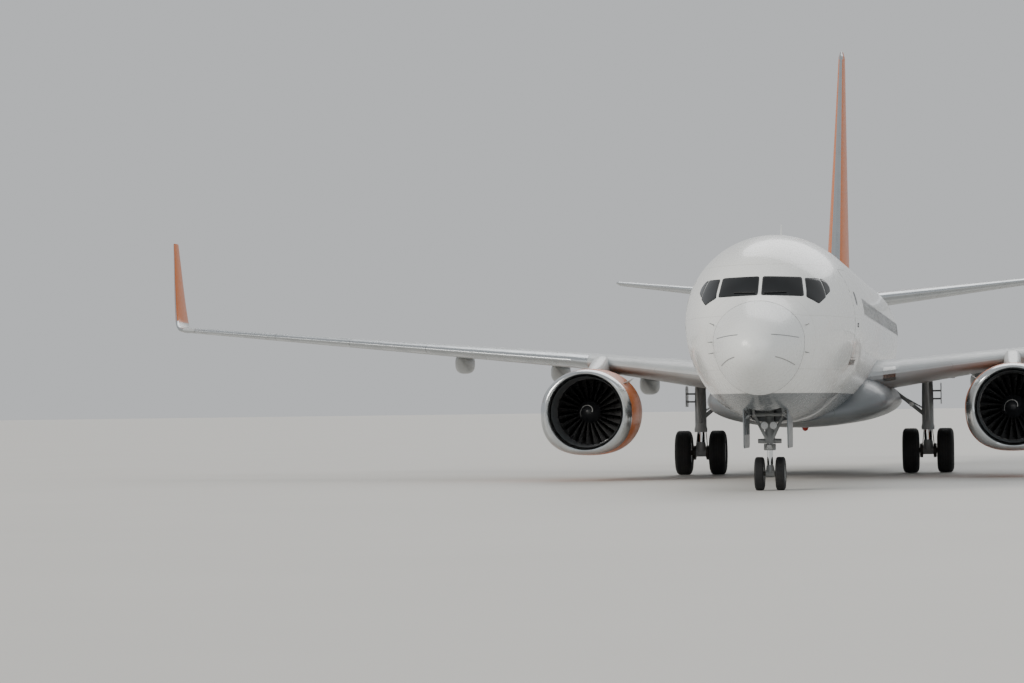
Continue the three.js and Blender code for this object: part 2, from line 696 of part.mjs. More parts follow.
function addWing(suffix, side) {
  const whole = wingSolid(side, 0);
  const tools = [fairingSolid(FIT_GAP), bodySolid(CABIN_STATIONS, FIT_GAP)];
  const belowFlaps = [];

  for (const [name, x0, x1, front0, front1] of FLAPS) {
    tools.push(rearPrism(side, x0, x1, front0, front1));
    belowFlaps.push(wingSolid(side, FIT_GAP).intersect(rearPrism(side, x0, x1, front0, front1)));
    const room = rearPrism(side, x0 + FIT_GAP, x1 - FIT_GAP, front0 + FIT_GAP, front1 + FIT_GAP);
    addPart(`${name}_${suffix}`, whole.intersect(room), 'wingGrey');
  }

  const [inner, outer] = aileronHinge();
  const aileron = hingedSurface(whole, side, inner, outer, AILERON.endGap);
  tools.push(aileron.room);
  addPart(`aileron_${suffix}`, aileron.surface, 'wingGrey');

  tools.push(slatPrism(side, 0));
  addPart(`slats_${suffix}`, whole.intersect(slatPrism(side, FIT_GAP)), 'bare');
  const canoes = CANOES_AT.map((x) => cut(canoe(x, side), belowFlaps));
  const pad = JACK_PAD;
  const jackPad = bar(
    [side * pad.x, at(pad.station), pad.bottom], [side * pad.x, at(pad.station), pad.bottom + 200],
    pad.radius, pad.radius, 12);
  const wing = join([cut(whole, tools), jackPad, ...canoes, ...aileron.pins]);
  addPart(`wing_${suffix}`, wing, 'wingGrey');

  const winglet = WINGLET.map(([x, station, height, chord, cant], k) => wingRing(
    x + (k === 0 ? FIT_GAP : 0), station, height, chord, WINGLET_THICKNESS, side, cant * DEGREE, 0));
  addPart(`winglet_${suffix}`, loft(winglet), 'orange');
}

// A level fin section with its thickness along X
function finRing([height, station, chord, thickness]) {
  return aerofoil(thickness, 0).map(([u, w]) => (
    new THREE.Vector3(w * chord, at(station + u * chord), height)));
}

// The fin's section sizes at a height
function finAt(height) {
  const t = (height - FIN[0][0]) / (FIN[1][0] - FIN[0][0]);
  const mix = (column) => FIN[0][column] + (FIN[1][column] - FIN[0][column]) * t;
  return { station: mix(1), chord: mix(2), thickness: mix(3) };
}

function addFin() {
  const { low: foot, high: hip } = DORSAL_FOOT;
  const dorsal = loft(DORSAL.map(([station, height, half]) => [
    [half, foot], [half, hip], [0.45 * half, (hip + height) / 2], [0, height],
    [-0.45 * half, (hip + height) / 2], [-half, hip], [-half, foot],
  ].map(([x, z]) => new THREE.Vector3(x, at(station), z))));
  const blade = loft(FIN.map(finRing));
  const whole = blade.add(dorsal);

  const ends = [[RUDDER.bottom, RUDDER.bottomStation], [RUDDER.top, RUDDER.topStation]];
  const radii = ends.map(([height, station]) => halfDepth(finAt(height), station));
  const [low, high] = ends;
  const lean = Math.atan2(high[1] - low[1], high[0] - low[0]);
  const behind = (ahead, spare, gap) => prism('x', polygon([
    [at(low[1] - ahead * radii[0] - gap - spare * Math.tan(lean)), low[0] - spare],
    [at(high[1] - ahead * radii[1] - gap + spare * Math.tan(lean)), high[0] + spare],
    [at(CUT.behind), high[0] + spare], [at(CUT.behind), low[0] - spare],
  ]), -RUDDER_CUT_HALF, RUDDER_CUT_HALF);
  const beyond = (end, by) => [0, at(end[1] + by * Math.tan(lean)), end[0] + by];
  const nose = bar(beyond(low, -HINGE_BEYOND), beyond(high, HINGE_BEYOND), radii[0], radii[1], 16);
  const surface = blade.intersect(join([nose.intersect(behind(3, 0, 0)), behind(0, 0, 0)]));
  const line = (height) => beyond(low, height - low[0]);
  const sockets = hingePins(line, low[0], high[0], PIN.socket, PIN.depth + RUNNING_GAP);
  addPart('rudder', cut(surface, sockets), 'orange');
  const room = behind(1 / Math.cos(lean), RUDDER.endGap, 2 * RUNNING_GAP);
  const fixed = cut(whole, [room, bodySolid(BODY_STATIONS, FIT_GAP)]);
  addPart('fin', join([fixed, ...hingePins(line, low[0], high[0], PIN.radius, PIN.depth)]), 'orange');
}

function tailplaneAt(x) {
  const t = (x - TAILPLANE[0][0]) / (TAILPLANE[1][0] - TAILPLANE[0][0]);
  const mix = (column) => TAILPLANE[0][column] + (TAILPLANE[1][column] - TAILPLANE[0][column]) * t;
  return { station: mix(1), chord: mix(2), height: mix(3), thickness: mix(4) };
}

function elevatorHinge() {
  const ends = [[ELEVATOR.inner, ELEVATOR.innerStation], [ELEVATOR.outer, ELEVATOR.outerStation]];
  return ends.map(([x, station]) => {
    const row = tailplaneAt(x);
    return [x, station, row.height, halfDepth(row, station)];
  });
}

function addTailplane(suffix, side) {
  const whole = loft(TAILPLANE.map(([x, station, chord, height, thickness]) => (
    aerofoil(thickness, 0).map(([u, w]) => (
      new THREE.Vector3(side * x, at(station + u * chord), height + w * chord))))));
  const [inner, outer] = elevatorHinge();
  const elevator = hingedSurface(whole, side, inner, outer, ELEVATOR.endGap);
  addPart(`elevator_${suffix}`, elevator.surface, 'wingGrey');
  const fixed = cut(whole, [elevator.room, bodySolid(BODY_STATIONS, FIT_GAP)]);
  addPart(`tailplane_${suffix}`, join([fixed, ...elevator.pins]), 'wingGrey');
}

// A nacelle ring: round above the engine's axis, squarer below it
function nacelleRing(station, side) {
  const half = smooth(NACELLE, 1, station);
  const above = smooth(NACELLE, 2, station);
  const below = smooth(NACELLE, 3, station);
  const ease = Math.min(Math.max((NACELLE_ROUND_BY - station) / 3000, 0), 1);
  const power = 2 / (2 + 0.5 * ease);
  return Array.from({ length: NACELLE_SIDES }, (_, k) => {
    const angle = (2 * Math.PI * k) / NACELLE_SIDES;
    const across = Math.cos(angle);
    const up = Math.sin(angle);
    const squared = (value) => Math.sign(value) * Math.abs(value) ** power;
    return new THREE.Vector3(
      side * ENGINE_X + half * (up < 0 ? squared(across) : across), at(station),
      ENGINE_Z + (up < 0 ? below * squared(up) : above * up));
  });
}

function pylonBlank(side, grow) {
  const outline = polygon(PYLON.map(([station, height]) => [at(station), height]));
  return prism('x', outline, side * ENGINE_X - PYLON_HALF - grow, side * ENGINE_X + PYLON_HALF + grow);
}

// One fan blade: thin flat sections that twist and slant back from the hub to the tip
function fanBlade(angle, side) {
  const rings = FAN_BLADE.map(([radius, chord, pitch]) => {
    const [c, s] = [Math.cos(pitch * DEGREE), Math.sin(pitch * DEGREE)];
    return [[-chord, -8], [0, 10], [chord, -8]].map(([along, off]) => new THREE.Vector3(
      radius, at(FAN_STATION) + (along * c - off * s) / 2, (along * s + off * c) / 2));
  });
  const turn = new THREE.Matrix4().makeRotationY(angle);
  turn.setPosition(side * ENGINE_X, 0, ENGINE_Z);
  return loft(rings.map((ring) => ring.map((point) => point.applyMatrix4(turn))));
}

function addEngine(suffix, side) {
  const duct = turnedAboutEngine([[12900, 0], ...DUCT, [17200, 0]], side, NACELLE_SIDES);
  const lip = loft(LIP_STATIONS.slice(0, -1).concat(LIP_STATIONS[3] - FIT_GAP).map((station) => (
    nacelleRing(station, side))));
  addPart(`inlet_lip_${suffix}`, lip.subtract(duct), 'bare');
  const cowl = loft(COWL_STATIONS.map((station) => nacelleRing(station, side)));
  const slot = pylonBlank(side, FIT_GAP);
  const slots = [-FIT_GAP, 0, FIT_GAP].map((rise) => slot.translate([0, -FIT_GAP, rise]));
  addPart(`nacelle_${suffix}`, cut(cowl, [duct, ...slots]), 'orange');

  const coreProfile = (grow) => [[CORE[0][0] - grow, 0], ...CORE.map(([station, radius]) => (
    [station + (station === CORE[0][0] ? -grow : 0), radius + grow])), [CORE[5][0] + grow, 0]];
  const shaft = bar(
    [side * ENGINE_X, at(SHAFT.front), ENGINE_Z], [side * ENGINE_X, at(CORE[0][0] + 50), ENGINE_Z],
    SHAFT.radius, SHAFT.radius, 24);
  addPart(`engine_core_${suffix}`, turnedAboutEngine(coreProfile(0), side, 20).add(shaft), 'titanium');
  const pylon = cut(pylonBlank(side, 0), [
    wingSolid(side, FIT_GAP), turnedAboutEngine(coreProfile(FIT_GAP), side, 20)]);
  addPart(`pylon_${suffix}`, pylon, 'white');

  const hub = turnedAboutEngine([[HUB[0][0], 0], ...HUB, [HUB[3][0], 0]], side, FAN_BLADES);
  const bore = bar(
    [side * ENGINE_X, at(SHAFT.front - 6), ENGINE_Z], [side * ENGINE_X, at(HUB[3][0] + 20), ENGINE_Z],
    SHAFT.bore, SHAFT.bore, 24);
  const blades = Array.from({ length: FAN_BLADES }, (_, k) => (
    fanBlade((2 * Math.PI * k) / FAN_BLADES, side)));
  addPart(`fan_${suffix}`, join([hub, ...blades]).subtract(bore), 'titanium');
}

// Round bars of a landing gear, from one of the tables above
function gearBars(rows, side, x, y) {
  return rows.map(([out0, aft0, z0, out1, aft1, z1, radius]) => bar(
    [x + side * out0, y + aft0, z0], [x + side * out1, y + aft1, z1], radius, radius, 8));
}

// One wheel's outline about its axle, with a dished rim and round shoulders. It stands on a flat.
function wheel(tyre, x, y) {
  const half = tyre.width / 2;
  const tread = tyre.radius / Math.cos(Math.PI / WHEEL_SIDES);
  const profile = [
    [0, 0.4 * half], [0.9 * tyre.rim, 0.4 * half], [tyre.rim, 0.84 * half],
    [tyre.rim + 0.4 * (tread - tyre.rim), half], [tread - 0.16 * half, 0.82 * half],
    [tread, 0.36 * half],
  ];
  const mirrored = profile.map(([radius, along]) => [radius, -along]);
  return turnedAboutX([...mirrored, ...profile.reverse()], x, y, tyre.radius, WHEEL_SIDES);
}

// Two wheels and the axle between them
function wheelPair(tyre, x, y, axle) {
  const shaft = bar(
    [x - tyre.offset, y, tyre.radius], [x + tyre.offset, y, tyre.radius], axle, axle, 24);
  return join([wheel(tyre, x - tyre.offset, y), wheel(tyre, x + tyre.offset, y), shaft]);
}

function addNoseGear() {
  const y = at(NOSE_GEAR_STATION);
  const axle = NOSE_TYRE.radius;
  const ceiling = NOSE_BAY.top - FIT_GAP;
  const leg = NOSE_LEG;
  const cylinder = bar([0, y, ceiling], [0, y, leg.end], leg.radius, leg.radius, 18);
  const bore = bar([0, y, leg.end - 20], [0, y, leg.pistonTop + RUNNING_GAP], leg.bore, leg.bore, 24);
  const reach = NOSE_BAY.half - FIT_GAP;
  const trunnion = bar(
    [-reach, y, leg.trunnion], [reach, y, leg.trunnion], leg.trunnionRadius, leg.trunnionRadius, 10);
  const fixed = [cylinder, trunnion, ...gearBars(NOSE_BRACES, 1, 0, y), ...gearBars(NOSE_BRACES, -1, 0, y)];
  addPart('nose_leg', join(fixed).subtract(bore), 'gear');

  const piston = bar([0, y, axle], [0, y, leg.pistonTop], leg.piston, leg.piston, 24);
  const collar = bar(
    [0, y, leg.collarEnd], [0, y, leg.end - RUNNING_GAP], leg.collarRadius, leg.collarRadius, 16);
  const sleeve = bar(
    [-leg.sleeve, y, axle], [leg.sleeve, y, axle], leg.sleeveRadius, leg.sleeveRadius, 16);
  const tow = TOW_LUG;
  const lug = block(-tow.half, tow.half, y - tow.reach, y - 60, tow.low, tow.high);
  const hole = bar([-leg.sleeve - 15, y, axle], [leg.sleeve + 15, y, axle], leg.axleBore, leg.axleBore, 24);
  const fork = [piston, collar, sleeve, lug, ...gearBars(NOSE_LINKS, 1, 0, y)];
  addPart('nose_fork', join(fork).subtract(hole), 'gear');
  addPart('nose_wheels', wheelPair(NOSE_TYRE, 0, y, leg.axle), 'rubber');

  for (const [suffix, side] of SIDES) {
    const outline = polygon(NOSE_DOOR_OUTLINE.map(([station, z]) => [at(station), z]));
    const plate = prism('x', outline, side * NOSE_DOOR.x, side * (NOSE_DOOR.x + NOSE_DOOR.thick));
    addPart(`nose_gear_door_${suffix}`, plate.subtract(bodySolid(CABIN_STATIONS, FIT_GAP)), 'belly');
  }
}

function addMainGear(suffix, side) {
  const x = (side * TRACK) / 2;
  const y = at(MAIN_GEAR_STATION);
  const axle = MAIN_TYRE.radius;
  const outward = (distance) => x + side * distance;
  const leg = MAIN_LEG;
  const door = MAIN_DOOR;
  const pieces = [
    bar([x, y, leg.top], [x, y, leg.end], leg.radius, leg.radius, 16),
    bar([x, y, leg.end + 40], [x, y, leg.end], leg.gland, leg.gland, 16),
    bar([x, y, leg.end + 20], [x, y, axle], leg.piston, leg.piston, 16),
    bar([x - leg.sleeve, y, axle], [x + leg.sleeve, y, axle], leg.sleeveRadius, leg.sleeveRadius, 16),
    block(outward(door.near), outward(door.far), y - door.ahead, y + door.behind, door.low, door.high),
    ...gearBars(MAIN_BRACES, side, x, y),
  ];
  const brakes = [-1, 1].map((end) => bar(
    [x + end * BRAKE.near, y, axle], [x + end * BRAKE.far, y, axle], BRAKE.radius, BRAKE.radius, 16));
  const reach = leg.sleeve + 20;
  const hole = bar([x - reach, y, axle], [x + reach, y, axle], leg.axleBore, leg.axleBore, 24);
  const whole = cut(join([...pieces, ...brakes]), [hole, wingSolid(side, FIT_GAP), fairingSolid(FIT_GAP)]);
  addPart(`main_leg_${suffix}`, whole, 'gear');
  addPart(`main_wheels_${suffix}`, wheelPair(MAIN_TYRE, x, y, leg.axle), 'rubber');
}

addBody();
addFairing();
addFin();
addNoseGear();
for (const [suffix, side] of SIDES) {
  addWing(suffix, side);
  addTailplane(suffix, side);
  addEngine(suffix, side);
  addMainGear(suffix, side);
}

export default airliner;
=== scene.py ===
"""Looks of a parked twin-engine airliner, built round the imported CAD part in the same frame.

X points to the aircraft's left, Y aft and Z up, with the origin on the ground. The tables below repeat
the part's own sizes in millimetres. A station is the distance aft of the nose tip. Meshes are in metres.
"""

import json
import math

import bpy
from mathutils import Matrix, Vector

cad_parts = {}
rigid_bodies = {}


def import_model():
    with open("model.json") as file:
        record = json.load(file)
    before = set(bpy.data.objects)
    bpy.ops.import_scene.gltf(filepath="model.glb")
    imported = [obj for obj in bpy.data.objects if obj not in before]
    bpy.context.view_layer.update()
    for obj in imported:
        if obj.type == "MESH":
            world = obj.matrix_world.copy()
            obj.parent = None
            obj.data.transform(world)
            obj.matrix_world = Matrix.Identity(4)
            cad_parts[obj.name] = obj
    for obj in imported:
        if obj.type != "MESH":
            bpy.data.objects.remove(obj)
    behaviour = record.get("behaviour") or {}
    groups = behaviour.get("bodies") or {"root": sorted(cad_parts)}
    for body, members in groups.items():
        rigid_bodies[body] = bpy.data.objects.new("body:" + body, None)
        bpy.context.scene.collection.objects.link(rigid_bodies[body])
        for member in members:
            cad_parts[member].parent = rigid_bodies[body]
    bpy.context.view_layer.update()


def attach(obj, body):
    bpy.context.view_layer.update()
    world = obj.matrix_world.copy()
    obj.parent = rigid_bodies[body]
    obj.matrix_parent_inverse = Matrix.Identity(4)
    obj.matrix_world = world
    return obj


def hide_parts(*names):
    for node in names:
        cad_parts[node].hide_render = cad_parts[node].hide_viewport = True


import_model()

MM = 0.001
LENGTH = 39470
ENGINE_X, ENGINE_Z = 4970, 1640
NOSE_GEAR, MAIN_GEAR, HALF_TRACK = 4000, 19600, 2860
SIDES = (("left", 1), ("right", -1))

# Body columns: station, half width, bottom, top, height of the widest point
BODY = (
    (0, 60, 2780, 2900, 2840), (60, 230, 2620, 3050, 2840), (180, 385, 2480, 3190, 2850),
    (500, 590, 2290, 3420, 2880), (1000, 775, 2080, 3640, 2940), (1400, 900, 1940, 3800, 3010),
    (1750, 1030, 1830, 3960, 3090), (2350, 1260, 1680, 4390, 3200), (3000, 1440, 1550, 4790, 3300),
    (4000, 1650, 1420, 5090, 3410), (5000, 1795, 1365, 5250, 3465), (6200, 1880, 1350, 5340, 3480),
    (7600, 1880, 1350, 5360, 3480),
    (25500, 1880, 1350, 5360, 3480),
    (27000, 1880, 1420, 5360, 3490), (29000, 1840, 1750, 5360, 3620), (31000, 1690, 2250, 5360, 3850),
    (33000, 1390, 2850, 5330, 4130), (35000, 1000, 3480, 5230, 4400), (37000, 500, 4120, 5000, 4580),
    (38020, 190, 4440, 4780, 4610),
)
RADOME_END, TAIL_CONE_START, BODY_END = 1400, 36900, 38020
BODY_SIDES = 96
FAIRING = (
    (11700, 700, 1345, 1700, 1500), (12300, 1500, 1290, 2000, 1640), (13200, 2080, 1225, 2450, 1780),
    (14500, 2200, 1200, 2600, 1850), (20500, 2200, 1200, 2550, 1850), (21800, 2060, 1240, 2420, 1800),
    (23000, 1500, 1310, 2050, 1680), (23700, 700, 1345, 1700, 1500),
)
NOSE_BAY = {"from": 2550, "to": 4350, "half": 360, "bottom": 1000, "top": 2150}
WHEEL_WELL = {"x": 640, "radius": 620, "bottom": 900, "top": 1800}

# Wing columns: distance out, leading edge station, chord, leading edge height, thickness / chord
WING = ((1300, 13770, 7010, 2335, 0.110), (5800, 16780, 4000, 2915, 0.099), (17160, 22720, 1600, 3980, 0.090))
INCIDENCE, CAMBER, EDGE = 0.02, 0.012, 0.0025
SLAT_CHORD, SLAT_FROM_X, SLAT_TO_X = 0.11, 5350, 16800
# Winglet columns: distance out, leading edge station, leading edge height, chord, cant in degrees
WINGLET = (
    (17160, 22720, 3980, 1600, 0), (17290, 22830, 4008, 1570, 26), (17390, 22990, 4105, 1510, 52),
    (17470, 23200, 4300, 1410, 72), (17890, 24640, 6420, 560, 79),
)
# Thickness / chord, a touch under the solid's so that the blade stays inside its box
WINGLET_THICKNESS = 0.0985
# Flap columns: inboard end, outboard end, front station at each of those ends
FLAPS = ((2300, 5500, 19990, 19990), (6000, 11900, 19760, 21620))
# Control surfaces: (distance out or height, hinge station) of both ends, gap at the ends, gap at the nose
AILERON = (((12000, 21760), (16300, 23560)), 24, 6)
# Panels on the wing: slats and, for each flap, the spoilers ahead of it, by their inner and outer ends
SLATS = ((5352, 5800), (5800, 7580), (7580, 9802), (9810, 12032), (12040, 14262), (14270, 16790))
SPOILERS = (((3250, 4250), (4270, 5280)), ((6150, 7530), (7550, 8930), (8950, 10330), (10350, 11730)))
ROOT_LAMP = (1950, 2240)
CANOES_AT = (4155, 6510, 9170)
# Fin columns: height, leading edge station, chord, X of its middle, thickness / chord
FIN = ((4900, 30650, 6350, 0, 0.105), (12400, 36740, 1900, 0, 0.095), (12550, 36960, 1640, 0, 0.060))
DORSAL = ((27600, 5330, 40), (29500, 5620, 110), (31300, 5950, 190), (32600, 6700, 210))
RUDDER = (((5650, 35362), (12250, 38018)), 46, 11.132)
TAILPLANE = (
    (350, 33250, 4500, 4770, 0.105), (7080, 37900, 1520, 5610, 0.090), (7175, 38080, 1390, 5625, 0.050))
ELEVATOR = (((1150, 36620), (6900, 39000)), 34, 6)
RUNNING_GAP = 6

# Nacelle columns: station, half width, height above the engine axis, depth below it
NACELLE = (
    (13000, 945, 914, 916), (13020, 985, 942, 946), (13070, 1025, 966, 974), (13230, 1085, 998, 1008),
    (13900, 1120, 1022, 1032), (14900, 1115, 1024, 1032), (15900, 1030, 975, 980), (17100, 825, 825, 825),
)
LIP_END, COWL_END, NACELLE_ROUND_BY = 13230, 17100, 16600
# Duct, core and hub columns: station, radius
DUCT = ((12900, 908), (13000, 904), (13030, 882), (13120, 850), (13700, 795), (15500, 800), (17200, 770))
CORE = ((14260, 360), (15000, 550), (17050, 470), (17700, 350))
HUB = ((13560, 0), (13575, 45), (13650, 120), (13760, 195), (13880, 270), (14240, 300))
FAN_STATION, FAN_BLADES = 13950, 24
# Pylon columns: station, bottom, top, half width
PYLON = (
    (14250, 2560, 2620, 15), (14550, 2450, 2680, 110), (14950, 2330, 2760, 165), (15400, 2020, 2850, 205),
    (16350, 2000, 3000, 215), (17200, 2010, 2900, 215), (17650, 2060, 2850, 208), (18700, 2300, 2740, 150),
    (19300, 2450, 2680, 70), (19500, 2500, 2560, 16),
)

# Doors in the body: node, side, centre station, width, sill, height, corner radius
DOORS = (
    ("entry_door_forward_left", 1, 5050, 860, 2700, 1830, 120),
    ("service_door_forward_right", -1, 5050, 760, 2700, 1650, 120),
    ("entry_door_aft_left", 1, 31100, 760, 2720, 1830, 120),
    ("service_door_aft_right", -1, 31100, 760, 2720, 1650, 120),
    ("cargo_door_forward", -1, 8900, 1220, 1660, 890, 90),
    ("cargo_door_aft", -1, 26000, 1220, 1660, 840, 90),
)
EXIT = {"stations": (16900, 17900), "width": 510, "sill": 3130, "height": 960, "radius": 110, "depth": 70}
SIDE_WINDOWS = (
    ("side_window_forward", ((2175, 3885), (2388, 3765), (2800, 3912), (3030, 4268), (2625, 4262))),
    ("side_window_aft", ((2862, 3934), (3170, 4045), (3260, 4130), (3220, 4225), (3092, 4268))),
)
WINDSCREEN = ((50, 3924), (838, 3906), (772, 4290), (50, 4306))
# Heights of the radome's diverter strips at their front and rear ends
DIVERTERS = ((3110, 3060), (2680, 2525))
# Air data probes: side, station, height
PROBES = ((1, 1575, 3311), (1, 1480, 2778), (-1, 1575, 3341), (-1, 1480, 3001), (-1, 1480, 2786))
CABIN_WINDOWS = {"from": 6350, "to": 29700, "pitch": 508, "height": 3800, "wide": 235, "tall": 345}

NOSE_TYRE = {"radius": 343, "width": 197, "rim": 205, "offset": 215}
MAIN_TYRE = {"radius": 560, "width": 419, "rim": 285, "offset": 432}
CAMERA = {"place": (4.71, -81.505, 1.75), "yaw": -8.661, "pitch": 1.189, "roll": -0.746, "lens": 112.9}
# Nose gear door and main leg door: station and height of each corner
NOSE_DOOR = ((2900, 935), (2990, 875), (4180, 875), (4280, 935), (4300, 1560), (2880, 1690))
MAIN_DOOR = ((19245, 1720), (19895, 1720), (19880, 2200), (19800, 2250), (19350, 2250), (19260, 2190))
# Brake stack: fraction along, radius
BRAKE = (
    (0, 150), (0.1, 182), (0.35, 185), (0.4, 174), (0.5, 174), (0.55, 185), (0.75, 185), (0.8, 172), (1, 165))
# Exhaust nozzle's inside and its plug: station, radius
PLUG = (
    (17700, 338), (17400, 335), (17200, 330), (17190, 236), (17701, 232), (17850, 190), (18000, 135),
    (18150, 70), (18230, 22), (18248, 6),
)
# Joints between the fan cowl, the reverser and the nozzle, and a strip's edges: (across, proud of the skin)
COWL_JOINTS = (14560, 15980)
SEAL_STRIP = ((-6, -4), (6, -4), (6, 0.9), (-6, 0.9))
STRAKE = {"from": 13560, "length": 900}
# Sections of a fan blade and of an aerial: fractions of the chord along and across
BLADE_SECTION = ((-0.5, 0), (-0.3, 0.8), (0, 1), (0.3, 0.7), (0.5, 0), (0.3, -0.5), (0, -0.8), (-0.3, -0.6))
AERIAL_SECTION = (
    (0, 0), (0.12, 0.05), (0.35, 0.07), (0.7, 0.045), (1, 0.004), (0.7, -0.045), (0.35, -0.07), (0.12, -0.05))
# Blade aerials: station, height of the skin, height of the blade, chord
AERIALS = ((8300, 5355, 330, 330), (13500, 5355, 300, 300), (27600, 5350, 280, 280), (10300, 1355, -330, 330))
# Beacons: station, height, up or down
BEACONS = ((14800, 5358, 1), (16000, 1200, -1))
# Jack pad: distance out, station, bottom, top
JACK_PAD = (3500, 18300, 2350, 2585)
WICKS_AT = (16420, 16700, 16980)
TAIL_PIPE_Z, DORSAL_FOOT = 4610, 5250
# Faces along each side of a wing section, and round a cowl
SECTION_STEPS, COWL_SIDES = 18, 80
AFT, OUT, UP = (Vector(way) for way in ((0, 1, 0), (1, 0, 0), (0, 0, 1)))
MATERIALS = {}


# Camera, floor and light

def link_object(name, data):
    """An object in the scene that shows a mesh, a lamp or a camera."""
    made = bpy.data.objects.new(name, data)
    bpy.context.scene.collection.objects.link(made)
    return made


def add_camera():
    """The camera stands where the photographer stood, worked out from points measured in the photograph."""
    yaw, pitch, roll = (math.radians(CAMERA[key]) for key in ("yaw", "pitch", "roll"))
    forward = Vector((math.sin(yaw) * math.cos(pitch), math.cos(yaw) * math.cos(pitch), math.sin(pitch)))
    level = Vector((math.cos(yaw), -math.sin(yaw), 0))
    raised = level.cross(forward)
    right = level * math.cos(roll) + raised * math.sin(roll)
    up = raised * math.cos(roll) - level * math.sin(roll)
    data = bpy.data.cameras.new("camera")
    data.lens, data.sensor_width, data.clip_end = CAMERA["lens"], 36, 3000
    camera = link_object("camera", data)
    turned = Matrix((right, up, -forward)).transposed().to_4x4()
    camera.matrix_world = Matrix.Translation(CAMERA["place"]) @ turned
    bpy.context.scene.camera = camera


def add_soft_light(name, place, width, power, colour):
    """A far light so wide, in degrees, that its shadows are soft. It shines at the aircraft."""
    data = bpy.data.lights.new(name, "SUN")
    data.angle, data.energy, data.color = math.radians(width), power, colour
    light = link_object(name, data)
    light.location = place
    light.rotation_euler = (-Vector(place)).to_track_quat("-Z", "Y").to_euler()


def add_stage():
    """A plain pale floor, a pale surround and large soft lights, the main one on the aircraft's right."""
    reach = 900
    mesh = bpy.data.meshes.new("floor")
    corners = [(x * reach, y * reach, 0) for x, y in ((-1, -1), (1, -1), (1, 1), (-1, 1))]
    mesh.from_pydata(corners, [], [(0, 1, 2, 3)])
    mesh.materials.append(MATERIALS["studio_floor"])
    link_object("floor", mesh)

    world = bpy.data.worlds.new("surround")
    world.use_nodes = True
    surround = world.node_tree.nodes["Background"].inputs
    surround["Color"].default_value = (0.78, 0.80, 0.82, 1)
    surround["Strength"].default_value = 0.74
    bpy.context.scene.world = world
    add_soft_light("main_light", (-60, -50, 40), 26, 2.0, (1.0, 0.95, 0.88))
    add_soft_light("fill_light", (50, -60, 30), 50, 0.5, (0.92, 0.96, 1.0))
    add_soft_light("back_light", (10, 70, 50), 40, 0.8, (1.0, 1.0, 1.0))


# Materials

def linear(value):
    """An sRGB hex colour as linear red, green, blue and alpha."""
    channels = [((value >> shift) & 255) / 255 for shift in (16, 8, 0)]
    return tuple(c / 12.92 if c <= 0.04045 else ((c + 0.055) / 1.055) ** 2.4 for c in channels) + (1.0,)


def add(tree, kind, inputs=None, **settings):
    """Adds a node with its own settings, and its inputs as values or as links from other nodes."""
    node = tree.nodes.new(kind)
    for name, value in settings.items():
        setattr(node, name, value)
    for name, value in (inputs or {}).items():
        if isinstance(value, bpy.types.NodeSocket):
            tree.links.new(value, node.inputs[name])
        else:
            node.inputs[name].default_value = value
    return node


def calc(tree, operation, first, second=0.0):
    """The result of a sum on two values, each a number or another node's output."""
    return add(tree, "ShaderNodeMath", {0: first, 1: second}, operation=operation).outputs[0]


def mix_colour(tree, factor, first, second):
    """The first colour, turning into the second as the factor goes from 0 to 1."""
    return add(tree, "ShaderNodeMix", {0: factor, 6: first, 7: second}, data_type="RGBA").outputs[2]


def noise(tree, place, size, detail=3.0, stretch=(1, 1, 1), roughness=0.55):
    """Even noise from 0 to 1 whose patches are about size metres across, longer along an axis by stretch."""
    scaled = add(tree, "ShaderNodeMapping", {"Vector": place, "Scale": tuple(1 / s for s in stretch)})
    return add(tree, "ShaderNodeTexNoise", {
        "Vector": scaled.outputs[0], "Scale": 1 / size, "Detail": detail,
        "Roughness": roughness}).outputs["Fac"]


def ramp(tree, value, low, high, out_low=0.0, out_high=1.0):
    """A value between low and high moved to lie between out_low and out_high."""
    return add(tree, "ShaderNodeMapRange", {
        "Value": value, "From Min": low, "From Max": high, "To Min": out_low, "To Max": out_high}).outputs[0]


def seams(tree, coordinate, pitch, width, offset=0.0):
    """1 on thin lines square to a coordinate, a pitch apart in metres, and 0 between them."""
    across = calc(tree, "FRACT", calc(tree, "DIVIDE", calc(tree, "ADD", coordinate, offset), pitch))
    away = calc(tree, "MULTIPLY", calc(tree, "ABSOLUTE", calc(tree, "SUBTRACT", across, 0.5)), pitch)
    return ramp(tree, away, width * 0.5, width, 1.0, 0.0)


def start_material(name, roughness, **values):
    """A material with its shader's even values set, as its tree, its shader's inputs and its coordinates."""
    material = MATERIALS[name] = bpy.data.materials.new(name)
    material.use_nodes = True
    tree = material.node_tree
    tree.nodes.clear()
    even = {key.replace("_", " "): value for key, value in values.items()}
    shader = add(tree, "ShaderNodeBsdfPrincipled", {"Roughness": roughness, "Coat Roughness": 0.05, **even})
    add(tree, "ShaderNodeOutputMaterial", {"Surface": shader.outputs[0]})
    return tree, shader.inputs, add(tree, "ShaderNodeTexCoord").outputs["Object"]


def bump(tree, shader, height, distance):
    node = add(tree, "ShaderNodeBump", {"Height": height, "Distance": distance})
    tree.links.new(node.outputs[0], shader["Normal"])


